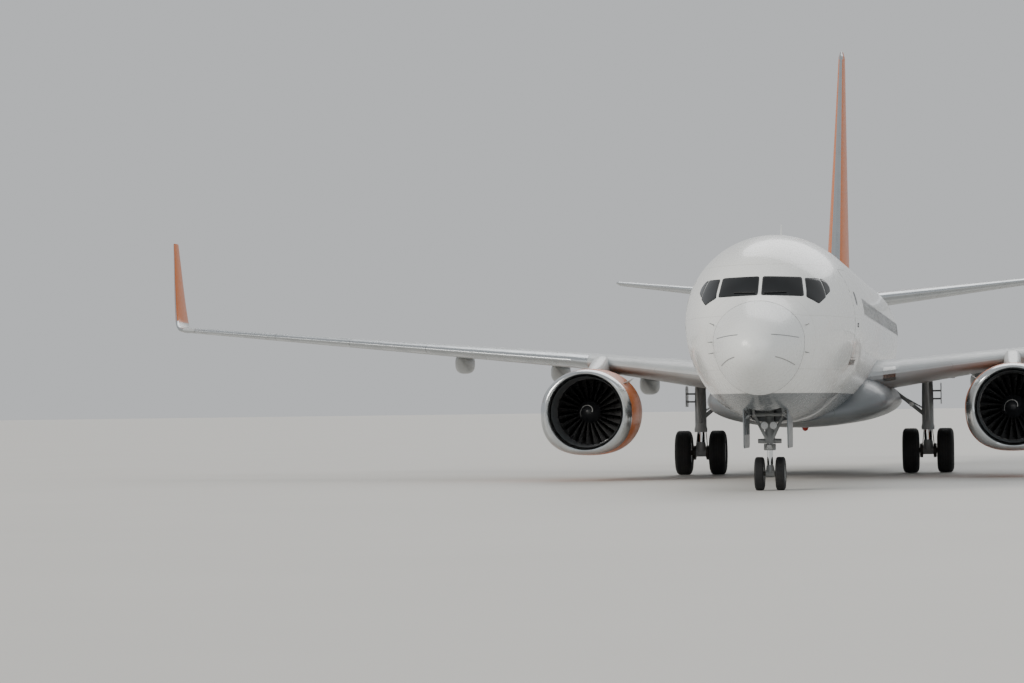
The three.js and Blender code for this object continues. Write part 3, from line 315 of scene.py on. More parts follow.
def make_paint(name, colour, dark, roughness, coat, frames=None, stringers=None, below=None, soft=0.003,
               weather=0.10):
    """Polyurethane topcoat over riveted sheet: glossy, with faint dirt, waviness and skin joints.

    frames and stringers are the pitches of the joints in metres; below a height and the colour under it."""
    tree, shader, place = start_material(name, roughness, Coat_Weight=coat)
    axes = add(tree, "ShaderNodeSeparateXYZ", {0: place}).outputs
    stains = noise(tree, place, 0.9, 5.0, (1, 5, 1))
    stained = mix_colour(tree, ramp(tree, stains, 0.48, 0.75, 0.0, weather), linear(colour), linear(dark))
    height = calc(tree, "MULTIPLY", noise(tree, place, 0.8, 1.0), 0.5)
    if frames:
        lines = seams(tree, axes[1], frames, 0.007)
        if stringers:
            lines = calc(tree, "MAXIMUM", lines, seams(tree, axes[2], stringers, 0.006, 0.2))
        stained = mix_colour(tree, calc(tree, "MULTIPLY", lines, 0.4), stained, linear(dark))
        height = calc(tree, "SUBTRACT", height, calc(tree, "MULTIPLY", lines, 0.8))
    if below:
        low = ramp(tree, axes[2], below[0] - soft, below[0] + soft, 1.0, 0.0)
        dirt = ramp(tree, stains, 0.48, 0.75, 0.0, 0.16)
        stained = mix_colour(tree, low, stained, mix_colour(tree, dirt, linear(below[1]), linear(0x4A4944)))
    tree.links.new(stained, shader["Base Color"])
    tree.links.new(ramp(tree, noise(tree, place, 0.08, 4.0), 0.3, 0.7, roughness * 0.8, roughness * 1.3),
                   shader["Roughness"])
    bump(tree, shader, height, 0.0008)


def make_patchy(name, colours, roughness, patches, fade, polish, grain=None, **values):
    """A surface whose colour and polish change together in soft patches.

    patches is the noise's size, detail, stretch and roughness. fade is where the second colour starts, where
    it is full and how much of it there is. polish is where the roughness is highest, and its lowest and
    highest factor. grain is the size, detail and depth of a fine bump."""
    tree, shader, place = start_material(name, roughness, **values)
    soft = noise(tree, place, *patches)
    mixed = mix_colour(tree, ramp(tree, soft, fade[0], fade[1], 0.0, fade[2]), *(linear(c) for c in colours))
    tree.links.new(mixed, shader["Base Color"])
    tree.links.new(ramp(tree, soft, 0.3, polish[0], roughness * polish[1], min(roughness * polish[2], 1.0)),
                   shader["Roughness"])
    if grain:
        bump(tree, shader, noise(tree, place, grain[0], grain[1]), grain[2])


def make_metal(name, colour, dark, roughness, size=0.25, stretch=(1, 1, 1), weather=0.35):
    """Bare metal: its colour and polish vary in soft patches where it has been rubbed and stained."""
    make_patchy(name, (colour, dark), roughness, (size, 6.0, stretch, 0.62), (0.42, 0.75, weather),
                (0.75, 0.7, 1.5), (size, 1.0, 0.0004), Metallic=1.0)


def make_rubber(name, colour, dusty, roughness):
    """Carbon black rubber: dull, with pale dust that gathers in soft patches and a fine moulded grain."""
    make_patchy(name, (colour, dusty), roughness, (0.16, 6.0), (0.45, 0.8, 0.5), (0.8, 0.85, 1.1),
                (0.012, 2.0, 0.001))


def make_glass(name, colour, tint, roughness):
    """Coated flight deck or cabin glass, opaque and almost black: the black is painted shade of the unlit
    room behind it. Mirror smooth, faintly smeared.
    """
    make_patchy(name, (colour, tint), roughness, (0.22, 4.0, (1, 1, 3)), (0.4, 0.8, 0.6), (0.8, 1, 3),
                IOR=1.4)


def make_liner(name, colour, dark, pitch):
    """Acoustic liner: grey composite skin pierced all over. Its 1.6 mm holes are drawn 9 mm wide to show, in
    a near-black colour that is painted shade inside them.
    """
    tree, shader, place = start_material(name, 0.5)
    cells = add(tree, "ShaderNodeTexVoronoi", {"Vector": place, "Scale": 1 / pitch, "Randomness": 0.5})
    holes = ramp(tree, cells.outputs["Distance"], 0.18, 0.3, 1.0, 0.0)
    # The holes' dark colour is painted shade in them
    tree.links.new(mix_colour(tree, holes, linear(colour), linear(dark)), shader["Base Color"])
    bump(tree, shader, calc(tree, "SUBTRACT", 1.0, holes), 0.002)


def make_lens(name, colour, painted_glint):
    """A cast lamp lens, a little brighter in a pattern of facets: a painted glint where they would catch the
    light.
    """
    tree, shader, place = start_material(name, 0.08, Coat_Weight=0.5)
    facets = add(tree, "ShaderNodeTexVoronoi", {"Vector": place, "Scale": 60.0}).outputs["Distance"]
    tree.links.new(mix_colour(tree, facets, linear(colour), linear(painted_glint)), shader["Base Color"])


def make_materials():
    tree, shader, place = start_material("studio_floor", 0.7)
    pale = mix_colour(tree, noise(tree, place, 6.0), linear(0xC9C7C2), linear(0xCFCDC8))
    tree.links.new(pale, shader["Base Color"])

    # White topcoat on the fuselage above the grey belly, whose edge runs level at 1.98 m
    make_paint("white_topcoat", 0xECEDEA, 0xA9A79E, 0.24, 0.3, 2.1, 1.06, (1.98, 0x6E7376))
    make_paint("radome_paint", 0xE6E8E6, 0xB5B4AC, 0.28, 0.25)
    make_paint("belly_grey_paint", 0x6E7376, 0x3B3A36, 0.36, 0.12, 1.05, weather=0.3)
    make_paint("orange_topcoat", 0xC8660F, 0x6E380E, 0.34, 0.05, 1.9)
    # The winglet's orange ends above the wing tip, in a soft edge to pale grey
    make_paint("winglet_paint", 0xC8660F, 0x6E380E, 0.34, 0.05, below=(4.2, 0xC9CBC8), soft=0.02)
    make_paint("wing_grey_paint", 0xA9ADAE, 0x6D6C66, 0.38, 0.1, 1.27, weather=0.22)
    make_paint("pylon_paint", 0xC6C9C8, 0x84827B, 0.3, 0.2, 0.8)
    # Enamel on steel and forged aluminium legs and wheels, stained by grease and brake dust
    make_paint("gear_enamel", 0xA7AAAB, 0x4B463E, 0.4, 0.1, weather=0.5)
    make_paint("wheel_enamel", 0xC5C7C6, 0x55504A, 0.36, 0.1, weather=0.45)
    # Green primer inside the wheel wells and the nose gear bay
    make_paint("well_primer", 0x6F7A5A, 0x33352B, 0.6, 0.0, 0.45, 0.3, weather=0.5)
    # Chromic anodised inlet lips and slats: bright, with long soft reflections
    make_metal("polished_lip_metal", 0xC6C9CA, 0x8E9192, 0.16, 0.35)
    make_metal("slat_metal", 0xB9BDBF, 0x8A8D8F, 0.24, 0.5, weather=0.3)
    make_metal("oleo_chrome", 0xD6D9DB, 0xB4B8BA, 0.06, 0.05, weather=0.15)
    # Titanium blades, and nickel alloy nozzles browned by heat
    make_metal("fan_titanium", 0x6B6A6A, 0x3C3B3B, 0.32, 0.06, weather=0.4)
    make_metal("nozzle_inconel", 0x8A7F74, 0x4A4038, 0.36, 0.3, (1, 3, 1), 0.6)
    make_metal("brake_steel", 0x55524E, 0x2A2725, 0.5, 0.04)
    make_metal("bare_fitting_metal", 0xA8A9A8, 0x6F6E6C, 0.3, 0.03)
    make_rubber("tyre_rubber", 0x17181A, 0x3A3834, 0.82)
    make_rubber("seal_rubber", 0x26282A, 0x3C3C3A, 0.7)
    make_rubber("hose_rubber", 0x141414, 0x2B2A28, 0.6)
    # Elastic coat on the spinner, and its white spiral
    make_rubber("spinner_coating", 0x1B1C1E, 0x35363A, 0.45)
    make_rubber("marking_white", 0xD8D8D4, 0xB9B8B2, 0.5)
    # Near-black glass colours: painted shade of the unlit flight deck and cabin behind the panes
    make_glass("flight_deck_glass", 0x06080A, 0x101518, 0.05)
    make_glass("cabin_glass", 0x101417, 0x2A2F33, 0.12)
    make_liner("acoustic_liner", 0x55585A, 0x17181A, 0.03)
    # Lens colours, each with a paler painted glint on its facets
    make_lens("lamp_lens", 0xDDE3E6, 0xFFFFFF)
    make_lens("red_lens", 0x8E1208, 0xD8321C)
    make_lens("green_lens", 0x0B6B2E, 0x2FB45A)


# Places and curves

def at(station):
    """The Y position of a station, in metres."""
    return (station - LENGTH / 2) * MM


def spot(x, station, z):
    """A point in metres at a distance to the left, a station and a height."""
    return Vector((x * MM, at(station), z * MM))


def spread(start, end, steps):
    """Even steps from start to end, both included."""
    return [start + (end - start) * n / steps for n in range(steps + 1)]


def stations(*spans):
    """Stations from spans of (from, to, step), without repeats."""
    found = []
    for start, end, step in spans:
        found += spread(start, end, max(1, round((end - start) / step)))[:-1]
    return found + [spans[-1][1]]


def circle(sides):
    """Even directions round a circle, as (cosine, sine)."""
    return [(math.cos(2 * math.pi * k / sides), math.sin(2 * math.pi * k / sides)) for k in range(sides)]


def squared(value, power):
    """A cosine or sine pushed outwards. A low power makes a circle more like a square."""
    return math.copysign(abs(value) ** power, value)


def row_before(rows, place):
    """The number of the row after which a place falls in a table's first column."""
    found = next((k - 1 for k, row in enumerate(rows) if row[0] > place), len(rows) - 2)
    return min(max(found, 0), len(rows) - 2)


def smooth(rows, column, place):
    """A column of a table at any place, on a smooth curve that never overshoots its rows."""
    def tangent(k):
        before, after = ((rows[n + 1][column] - rows[n][column]) / (rows[n + 1][0] - rows[n][0])
                         for n in (max(k - 1, 0), min(k, len(rows) - 2)))
        return 0.0 if before * after <= 0 else 2 * before * after / (before + after)

    i = row_before(rows, place)
    span = rows[i + 1][0] - rows[i][0]
    t = (place - rows[i][0]) / span
    return (rows[i][column] * (2 * t ** 3 - 3 * t ** 2 + 1) + tangent(i) * span * (t ** 3 - 2 * t ** 2 + t)
            + rows[i + 1][column] * (3 * t ** 2 - 2 * t ** 3) + tangent(i + 1) * span * (t ** 3 - t ** 2))


def straight(rows, place):
    """Every column of a table at a place, straight between its rows."""
    i = row_before(rows, place)
    t = (place - rows[i][0]) / (rows[i + 1][0] - rows[i][0])
    return [a + (b - a) * t for a, b in zip(rows[i], rows[i + 1])]


def line(ends):
    """The straight line through two (place, value) ends, as a function of the place."""
    (start, low), (end, high) = ends
    return lambda place: low + (high - low) * (place - start) / (end - start)


# Shapes and pieces

def around(centre, along, across, radius, sides):
    """A ring of points square to a direction. The radius is in millimetres."""
    over = along.cross(across)
    return [centre + (across * c + over * s) * radius * MM for c, s in circle(sides)]


class Shape:
    """Closed shapes gathered into one piece, each with its own material."""

    def __init__(self):
        self.points, self.faces, self.finish = [], [], []

    def close(self, points, faces, finishes):
        """Adds one closed shape, with a material's name for each face, and turns its faces outwards."""
        middle = sum(points, Vector()) / len(points)
        volume = 0.0
        for face in faces:
            a = points[face[0]] - middle
            for one, two in zip(face[1:], face[2:]):
                volume += a.dot((points[one] - middle).cross(points[two] - middle))
        start = len(self.points)
        self.points += points
        self.faces += [[start + n for n in (reversed(face) if volume < 0 else face)] for face in faces]
        self.finish += finishes

    def loft(self, rings, finish, closed_along=False):
        """A skin through rings of equal length, with flat ends, or joined end to end where closed_along.

        finish is a material's name, or a function that gives one for a face's ring and side."""
        pick = finish if callable(finish) else lambda ring, side: finish
        count, last = len(rings[0]), len(rings) - 1
        faces, finishes = [], []
        for ring in range(last + closed_along):
            for side in range(count):
                a, b = ring * count + side, ring * count + (side + 1) % count
                faces.append((a, b, *((n + count) % (count * len(rings)) for n in (b, a))))
                finishes.append(pick(ring, side))
        if not closed_along:
            faces += [tuple(range(count))[::-1], tuple(range(last * count, len(rings) * count))]
            finishes += [pick(0, 0), pick(last - 1, 0)]
        self.close([point for ring in rings for point in ring], faces, finishes)

    def rod(self, start, end, profile, finish, sides=24):
        """A solid turned about a line. Its profile, in millimetres, is a radius, a radius for each end or
        points of (fraction along, radius)."""
        if isinstance(profile, (int, float)):
            profile = (profile, profile)
        if isinstance(profile[0], (int, float)):
            profile = ((0, profile[0]), (1, profile[1]))
        along = (end - start).normalized()
        across = along.orthogonal().normalized()
        self.loft([around(start.lerp(end, t), along, across, max(radius, 0.01), sides)
                   for t, radius in profile], finish)

    def hose(self, points, radius, finish, sides=10):
        """A round tube on a smooth curve through points."""
        path = []
        for i, (p1, p2) in enumerate(zip(points, points[1:])):
            p0, p3 = points[max(i - 1, 0)], points[min(i + 2, len(points) - 1)]
            for t in spread(0, 1, 6)[:-1]:
                path.append(0.5 * (2 * p1 + (p2 - p0) * t + (2 * p0 - 5 * p1 + 4 * p2 - p3) * t * t
                                   + (3 * p1 - p0 - 3 * p2 + p3) * t ** 3))
        path.append(points[-1])
        rings = []
        across = (path[1] - path[0]).orthogonal().normalized()
        for i, point in enumerate(path):
            along = (path[min(i + 1, len(path) - 1)] - path[max(i - 1, 0)]).normalized()
            across = (across - along * across.dot(along)).normalized()
            rings.append(around(point, along, across, radius, sides))
        self.loft(rings, finish)

    def plate(self, corners, normal, thickness, finish, chamfer=3):
        """A flat plate with softened edges, thick along its normal."""
        middle = sum(corners, Vector()) / len(corners)
        inner = [middle + (c - middle) * (1 - chamfer * MM / (c - middle).length) for c in corners]
        half, soft = thickness * MM / 2, min(chamfer, thickness / 3) * MM
        self.loft([[p + normal * lift for p in outline] for outline, lift in (
            (inner, -half), (corners, soft - half), (corners, half - soft), (inner, half))], finish)

    def gear(self, origin, side, rows):
        """Rods and hoses from rows of (points, profile, and finish and sides where they aren't the usual).

        Points are (out, aft, up) of an origin on the ground, given as its X and station, mirrored by side."""
        for points, profile, *rest in rows:
            points = [spot(origin[0] + side * out, origin[1] + aft, up) for out, aft, up in points]
            if len(points) == 2:
                self.rod(*points, profile, *(rest or ("gear_enamel",)))
            else:
                self.hose(points, profile, "hose_rubber")

    def take(self, mesh, finish):
        """Adds a finished mesh as it is. finish stands in for a material that it lacks."""
        start = len(self.points)
        self.points += [v.co.copy() for v in mesh.vertices]
        self.faces += [[start + n for n in face.vertices] for face in mesh.polygons]
        names = [m.name if m else finish for m in mesh.materials] or [finish]
        self.finish += [names[face.material_index] for face in mesh.polygons]

    def mesh(self, name, crease=35):
        """All of it as one mesh, with sharp edges where faces meet at more than crease degrees."""
        mesh = bpy.data.meshes.new(name)
        mesh.from_pydata(self.points, [], self.faces)
        names = sorted(set(self.finish))
        for finish in names:
            mesh.materials.append(MATERIALS[finish])
        mesh.polygons.foreach_set("material_index", [names.index(f) for f in self.finish])
        shade(mesh, crease)
        mesh.validate()
        return mesh

    def piece(self, name, body, slot, node=None, crease=35):
        """Makes the piece, which rides on a body and stands for the CAD node named."""
        finish_piece(name, self.mesh(name, crease), body, node)


def shade(mesh, crease=35):
    mesh.polygons.foreach_set("use_smooth", [True] * len(mesh.polygons))
    mesh.set_sharp_from_angle(angle=math.radians(crease))


def finish_piece(name, mesh, body, node=None):
    made = link_object(name, mesh)
    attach(made, body)
    if node:
        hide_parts(node)


def applied(holder):
    """The mesh of an object with its modifier applied. The object goes."""
    bpy.context.view_layer.update()
    result = bpy.data.meshes.new_from_object(holder.evaluated_get(bpy.context.evaluated_depsgraph_get()))
    bpy.data.objects.remove(holder)
    return result


def cut(mesh, cutters):
    """A closed mesh with other closed meshes cut out of it."""
    group = bpy.data.collections.new("cutters")
    bpy.context.scene.collection.children.link(group)
    for shape in cutters:
        group.objects.link(bpy.data.objects.new("cutter", shape.mesh("cutter")))
    holder = link_object("holder", mesh)
    modifier = holder.modifiers.new("cut", "BOOLEAN")
    modifier.operand_type, modifier.collection = "COLLECTION", group
    modifier.operation, modifier.solver = "DIFFERENCE", "EXACT"
    result = applied(holder)
    for cutter in list(group.objects):
        bpy.data.objects.remove(cutter)
    bpy.data.collections.remove(group)
    shade(result)
    return result


def oval_ring(rows, station, grow=0.0, sides=BODY_SIDES):
    """An upright oval ring: two half ellipses that meet at the widest point."""
    half, bottom, top, waist = (smooth(rows, column, station) for column in range(1, 5))
    return [spot((half + grow) * c, station, waist + ((top - waist if s > 0 else waist - bottom) + grow) * s)
            for c, s in circle(sides)]


def round_ring(x, z, station, radius, sides):
    """A ring about an axis that runs along the aircraft."""
    return [spot(x + radius * c, station, z + radius * s) for c, s in circle(sides)]


def body_at(station, z):
    """The body's half width, and how far a height is from the widest point to the skin above or below it."""
    half, bottom, top, waist = (smooth(BODY, column, station) for column in range(1, 5))
    return half, (z - waist) / (top - waist if z > waist else waist - bottom)


def outside(x, station, z):
    """Below zero inside the body, above zero outside it."""
    half, share = body_at(station, z)
    return (x / half) ** 2 + share ** 2 - 1


def skin_normal(x, station, z):
    """The way that the body's skin faces."""
    return Vector([outside(x + i, station + j, z + k) - outside(x - i, station - j, z - k)
                   for i, j, k in ((5, 0, 0), (0, 5, 0), (0, 0, 5))]).normalized()


def side_skin(side):
    """The body's skin seen from one side: a point for a station, a height and a lift off the skin."""
    def surface(station, z, lift):
        half, share = body_at(station, z)
        x = side * half * math.sqrt(max(1 - share ** 2, 0))
        return spot(x, station, z) + skin_normal(x, station, z) * lift * MM

    return surface


def nose_skin(x, z, lift):
    """The skin round the windscreen seen from the front: a point for a distance out, a height and a lift."""
    low, high = 1000.0, 4000.0
    for _ in range(40):
        middle = (low + high) / 2
        low, high = (middle, high) if outside(x, middle, z) > 0 else (low, middle)
    return spot(x, low, z) + skin_normal(x, low, z) * lift * MM


def rounded(u0, v0, u1, v1, radius):
    """A rounded rectangle as a list of points."""
    quarter = math.pi / 2
    corners = ((u1 - radius, v1 - radius), (u0 + radius, v1 - radius), (u0 + radius, v0 + radius),
               (u1 - radius, v0 + radius))
    return [(u + radius * math.cos(turn), v + radius * math.sin(turn)) for n, (u, v) in enumerate(corners)
            for turn in spread(n * quarter, (n + 1) * quarter, 6)]


def soften(corners, radius):
    """A polygon whose corners are rounded off."""
    result = []
    for before, here, after in zip(corners[-1:] + corners[:-1], corners, corners[1:] + corners[:1]):
        before, here, after = Vector(before), Vector(here), Vector(after)
        a = here + (before - here).normalized() * radius
        b = here + (after - here).normalized() * radius
        result += [tuple(a * (1 - t) ** 2 + here * 2 * t * (1 - t) + b * t * t) for t in spread(0, 1, 4)]
    return result


def dense(outline, longest):
    """The outline with extra points, so that no side is longer than longest."""
    result = []
    for (a, b), (c, d) in zip(outline, outline[1:] + outline[:1]):
        steps = max(1, math.ceil(math.hypot(c - a, d - b) / longest))
        result += list(zip(spread(a, c, steps), spread(b, d, steps)))[:-1]
    return result


def middle_of(outline):
    return [sum(axis) / len(outline) for axis in zip(*outline)]


def grown(outline, margin):
    """The outline moved out from its middle by a margin."""
    u, v = middle_of(outline)
    return [(a + (a - u) * margin / math.hypot(a - u, b - v), b + (b - v) * margin / math.hypot(a - u, b - v))
            for a, b in outline]


def patch(shape, outline, surface, low, high, finish, rings):
    """A closed panel that follows a surface, which turns an outline point and a lift into a point."""
    u, v = middle_of(outline)
    inner = [1 - k / rings for k in range(1, rings)]
    levels = [(share, low) for share in inner[::-1] + [1.0]] + [(1.0, high - 0.8)]
    levels += [(share, high) for share in [0.98] + inner]
    shape.loft([[surface(u + (a - u) * share, v + (b - v) * share, lift) for a, b in outline]
                for share, lift in levels], finish)


def panel(shape, surface, box, radius, longest, low, high, finish, rings, margin=0):
    """A rounded rectangle laid on a surface. box is (from, bottom, to, top), made smaller by a margin."""
    x0, z0, x1, z1 = box
    outline = rounded(x0 + margin, z0 + margin, x1 - margin, z1 - margin, radius - margin)
    patch(shape, dense(outline, longest), surface, low, high, finish, rings)


def port(shape, surface, box, radius, frame_lift, glass_lift):
    """A cabin window in a door: a bare metal frame and the glass within it."""
    panel(shape, surface, box, radius, 40, -2, frame_lift, "bare_fitting_metal", 5)
    panel(shape, surface, box, radius, 40, -2, glass_lift, "cabin_glass", 5, 14)


# Fuselage

def exit_box(station, gap, top_gap):
    """The box and corner radius of an overwing exit, smaller by its gaps."""
    half, sill = EXIT["width"] / 2 - gap, EXIT["sill"]
    box = (station - half, sill + gap, station + half, sill + EXIT["height"] - top_gap)
    return box, EXIT["radius"] - gap


def well_cutters():
    """Upright round cutters for the main wheel wells."""
    cutters = []
    for _, side in SIDES:
        cutters.append(Shape())
        start, end = (spot(side * WHEEL_WELL["x"], MAIN_GEAR, WHEEL_WELL[key]) for key in ("bottom", "top"))
        cutters[-1].rod(start, end, WHEEL_WELL["radius"], "well_primer", 48)
    return cutters


def add_fuselage():
    skin = Shape()
    skin.loft([oval_ring(BODY, s) for s in stations(
        (RADOME_END, 3600, 100), (3600, 6200, 260), (6200, 25500, 1300), (25500, TAIL_CONE_START, 380))],
        "white_topcoat")
    bay, half = Shape(), NOSE_BAY["half"]
    front, back = NOSE_BAY["from"], NOSE_BAY["to"]
    bay.loft([[spot(x, s, z) for x, s in ((-half, front), (half, front), (half, back), (-half, back))]
              for z in (NOSE_BAY["bottom"], NOSE_BAY["top"])], "well_primer")
    cutters = [bay] + well_cutters()
    for _, side in SIDES:
        for station in EXIT["stations"]:
            box, radius = exit_box(station, 0, 0)
            cutters.append(Shape())
            cutters[-1].loft([[side_skin(side)(u, v, lift) for u, v in rounded(*box, radius)]
                              for lift in (-EXIT["depth"] - RUNNING_GAP, 60)], "well_primer")
    finish_piece("fuselage_skin", cut(skin.mesh("fuselage_skin"), cutters), "airframe", "fuselage")

    radome = Shape()
    radome.loft([oval_ring(BODY, s) for s in (
        0, 6, 14, 26, 42, 62, 90, 125, 165, 210, 270, 340, 430, 540, 660, 800, 950, 1100, 1250,
        RADOME_END - 5)], "radome_paint")
    # Two lightning diverter strips run back over each side of the radome
    for side in (1, -1):
        for heights in DIVERTERS:
            radome.loft([[side_skin(side)(s, z + across, lift)
                          for across, lift in ((-8, -2), (8, -2), (8, 3), (-8, 3))]
                         for s, z in zip(spread(240, 1120, 16), spread(*heights, 16))], "bare_fitting_metal")
    radome.piece("radome_shell", "airframe", "white", "radome")

    seal = Shape()
    seal.loft([oval_ring(BODY, s, grow) for s, grow in (
        (RADOME_END - 8, -3), (RADOME_END - 8, 0.8), (RADOME_END + 2, 0.8), (RADOME_END + 2, -3))],
        "seal_rubber", True)
    seal.piece("radome_seal", "airframe", "tyre")

    cone = Shape()
    outer = [oval_ring(BODY, s, sides=64) for s in stations((TAIL_CONE_START + 4, BODY_END, 140))]
    pipe = [round_ring(0, TAIL_PIPE_Z, s, radius, 64) for s, radius in (
        (BODY_END, 150), (BODY_END - 20, 118), (BODY_END - 250, 110), (BODY_END - 252, 30))]
    cone.loft(outer + pipe, lambda ring, side: "slat_metal" if ring < len(outer) - 1 else "nozzle_inconel")
    cone.piece("tail_cone_shell", "airframe", "bare_metal", "tail_cone")

    fairing = Shape()
    fairing.loft([oval_ring(FAIRING, s, sides=64) for s in stations(
        (11700, 14500, 200), (14500, 20500, 1000), (20500, 23700, 200))], "belly_grey_paint")
    mesh = cut(fairing.mesh("belly_fairing_skin"), well_cutters())
    finish_piece("belly_fairing_skin", mesh, "airframe", "belly_fairing")


def add_doors():
    for node, side, station, width, sill, height, radius in DOORS:
        shape, skin = Shape(), side_skin(side)
        half = width / 2
        box = (station - half, sill, station + half, sill + height)
        panel(shape, skin, box, radius, 160, -6, 1.2, "seal_rubber", 10)
        panel(shape, skin, box, radius, 160, -6, 3.0, "white_topcoat", 10, 9)
        if "cargo" in node:
            # Latches along the sill
            fittings = [((middle - 60, sill + 90, middle + 60, sill + 150), 12, math.inf, 4.0,
                         "bare_fitting_metal", 3) for middle in (station - 380, station + 380)]
        else:
            port(shape, skin, (station - 105, 3780, station + 105, 4080), 90, 4.4, 5.4)
            # Handle on a dark patch, painted shade standing for its recess, and a scuff plate below the sill
            fittings = (
                ((station - 170, 3330, station + 40, 3420), 20, math.inf, 4.0, "seal_rubber", 3),
                ((station - 150, 3360, station + 20, 3390), 12, math.inf, 6.0, "bare_fitting_metal", 3),
                ((station - half + 30, sill - 150, station + half - 30, sill - 30), 20, 120, 2.4,
                 "bare_fitting_metal", 4))
        for place, corner, longest, lift, finish, rings in fittings:
            panel(shape, skin, place, corner, longest, -2, lift, finish, rings)
        shape.piece(f"{node}_panel", "airframe", "white", node)


def add_exits():
    """Overwing exits: each leaf is a curved slab with its own window, and swings up about its top edge."""
    for suffix, side in SIDES:
        for number, station in enumerate(EXIT["stations"], 1):
            shape, skin = Shape(), side_skin(side)
            box, radius = exit_box(station, RUNNING_GAP, 3)
            panel(shape, skin, box, radius, 120, -EXIT["depth"] + 6, 0, "white_topcoat", 8)
            port(shape, skin, (station - 132, 3612, station + 132, 3988), 92, 2.2, 3.4)
            name = f"overwing_exit_{number}_{suffix}"
            shape.piece(f"{name}_leaf", name, "white", name)


def add_flight_deck_windows():
    for suffix, side in SIDES:
        panes = [(node, list(corners), side_skin(side), 5) for node, corners in SIDE_WINDOWS]
        panes.append(("windscreen", [(side * x, z) for x, z in WINDSCREEN], nose_skin, 6))
        for node, corners, skin, rings in panes:
            shape, glass = Shape(), soften(corners, 45)
            patch(shape, dense(grown(glass, 22), 90), skin, -5, 2.0, "seal_rubber", rings)
            patch(shape, dense(glass, 90), skin, -5, 3.4, "flight_deck_glass", rings)
            shape.piece(f"{node}_{suffix}_pane", "airframe", "glass", f"{node}_{suffix}")


# Wings and tail. A foil is its table, 1 if it is cambered or else 0, and a function that places its points

def flat_foil(rows, bent, side):
    return rows, bent, lambda x, station, z: spot(side * x, station, z)


def half_thickness(thickness, u):
    """Half a section's thickness at a fraction of its chord, in chords."""
    return 5 * thickness * (0.2969 * math.sqrt(u) - 0.126 * u - 0.3516 * u ** 2 + 0.2843 * u ** 3
                            - 0.1015 * u ** 4) + EDGE * u


def mean_line(u):
    """The height of a cambered section's middle at a fraction of its chord, in chords."""
    return 4 * CAMBER * u * (1 - u) - INCIDENCE * u


def section(chord, thickness, bent, u0=0, u1=1):
    """A section between two fractions of its chord: (distance aft, height) round it, from u1 over the top."""
    turn0, turn1 = (math.acos(1 - 2 * min(u, 1)) for u in (u0, u1))
    over = [(1 - math.cos(turn)) / 2 for turn in spread(turn1, turn0, SECTION_STEPS)]
    under = over[::-1] if u0 else over[-2::-1]
    return [(u * chord, (bent * mean_line(u) + way * half_thickness(thickness, u)) * chord)
            for way, fractions in ((1, over), (-1, under)) for u in fractions]


def foil_ring(foil, place, front=None, rear=None):
    """A foil's section at a place on its span, between two stations where they are given."""
    rows, bent, put = foil
    _, lead, chord, height, thickness = straight(rows, place)
    u0 = 0 if front is None else (front - lead) / chord
    u1 = 1 if rear is None else (rear - lead) / chord
    return [put(place, lead + aft, height + lift) for aft, lift in section(chord, thickness, bent, u0, u1)]


def foil_skin(shape, foil, start, end, finish, front=None, rear=None):
    """A run of a foil. front and rear give the station where it is cut off at a place on its span."""
    shape.loft([foil_ring(foil, place, front and front(place), rear and rear(place))
                for place in spread(start, end, 4)], finish)


def runs(start, end, stops, cuts):
    """Parts of a span as (from, to, rear), from cuts of that kind and other places to part it at."""
    edges = sorted({start, end, *stops} | {place for inner, outer, _ in cuts for place in (inner, outer)})
    return [(a, b, next((rear for inner, outer, rear in cuts if inner <= a < outer), None))
            for a, b in zip(edges, edges[1:])]


def edged(width, paint, metal="slat_metal"):
    """A finish for a foil: metal on the faces nearest to its leading edge, paint on the rest."""
    return lambda ring, point: metal if abs(point + 0.5 - SECTION_STEPS) < width else paint


def hinge_line(foil, control):
    """Both ends of a control surface's nose as (place, station, height, radius), and its cut in the foil."""
    rows, bent, _ = foil
    ends, end_gap, clearance = control
    (inner, first), (outer, last) = ends
    slant = math.cos(math.atan2(last - first, outer - inner))
    noses, room = [], []
    for place, station in ends:
        _, lead, chord, height, thickness = straight(rows, place)
        u = (station - lead) / chord
        radius = chord * half_thickness(thickness, u)
        noses.append((place, station, height + bent * chord * mean_line(u), radius * 0.98))
        room.append((place, station - (radius + clearance) / slant))
    return noses, (inner - end_gap, outer + end_gap, line(room))


def add_control(node, foil, noses, slot, finish):
    """A trailing edge surface with a round nose on its hinge line."""
    rings = []
    for t in spread(0, 1, 8):
        place, station, height, radius = (a + (b - a) * t for a, b in zip(*noses))
        ring = foil_ring(foil, place, station)
        nose = [foil[2](place, station - radius * math.sin(turn), height + radius * math.cos(turn))
                for turn in spread(0, math.pi, 10)[1:-1]]
        half = len(ring) // 2
        rings.append(ring[:half] + nose + ring[half:])
    shape = Shape()
    shape.loft(rings, finish)
    shape.piece(f"{node}_skin", node, slot, node, 30)


def slat_back(shift):
    """The station at the back of the slats, moved aft by shift, as a function of the distance out."""
    def station(x):
        _, lead, chord, _, _ = straight(WING, x)
        return lead + SLAT_CHORD * chord + shift

    return station


def canoe(shape, x, side):
    """A canoe-shaped cover below the wing's trailing edge."""
    _, station, chord, height, _ = straight(WING, x)
    rings = []
    for t in spread(0, 1, 24):
        swell = 22 + 205 * math.sin(math.pi * t) ** 0.7
        centre = height - chord * 0.05 - 175 * math.sin(math.pi * t)
        along = station + chord * 0.5 + (chord * 0.5 + 320) * t
        rings.append([spot(side * x + swell * squared(c, 0.7), along, centre + swell * squared(s, 0.7))
                      for c, s in circle(28)])
    shape.loft(rings, "wing_grey_paint")


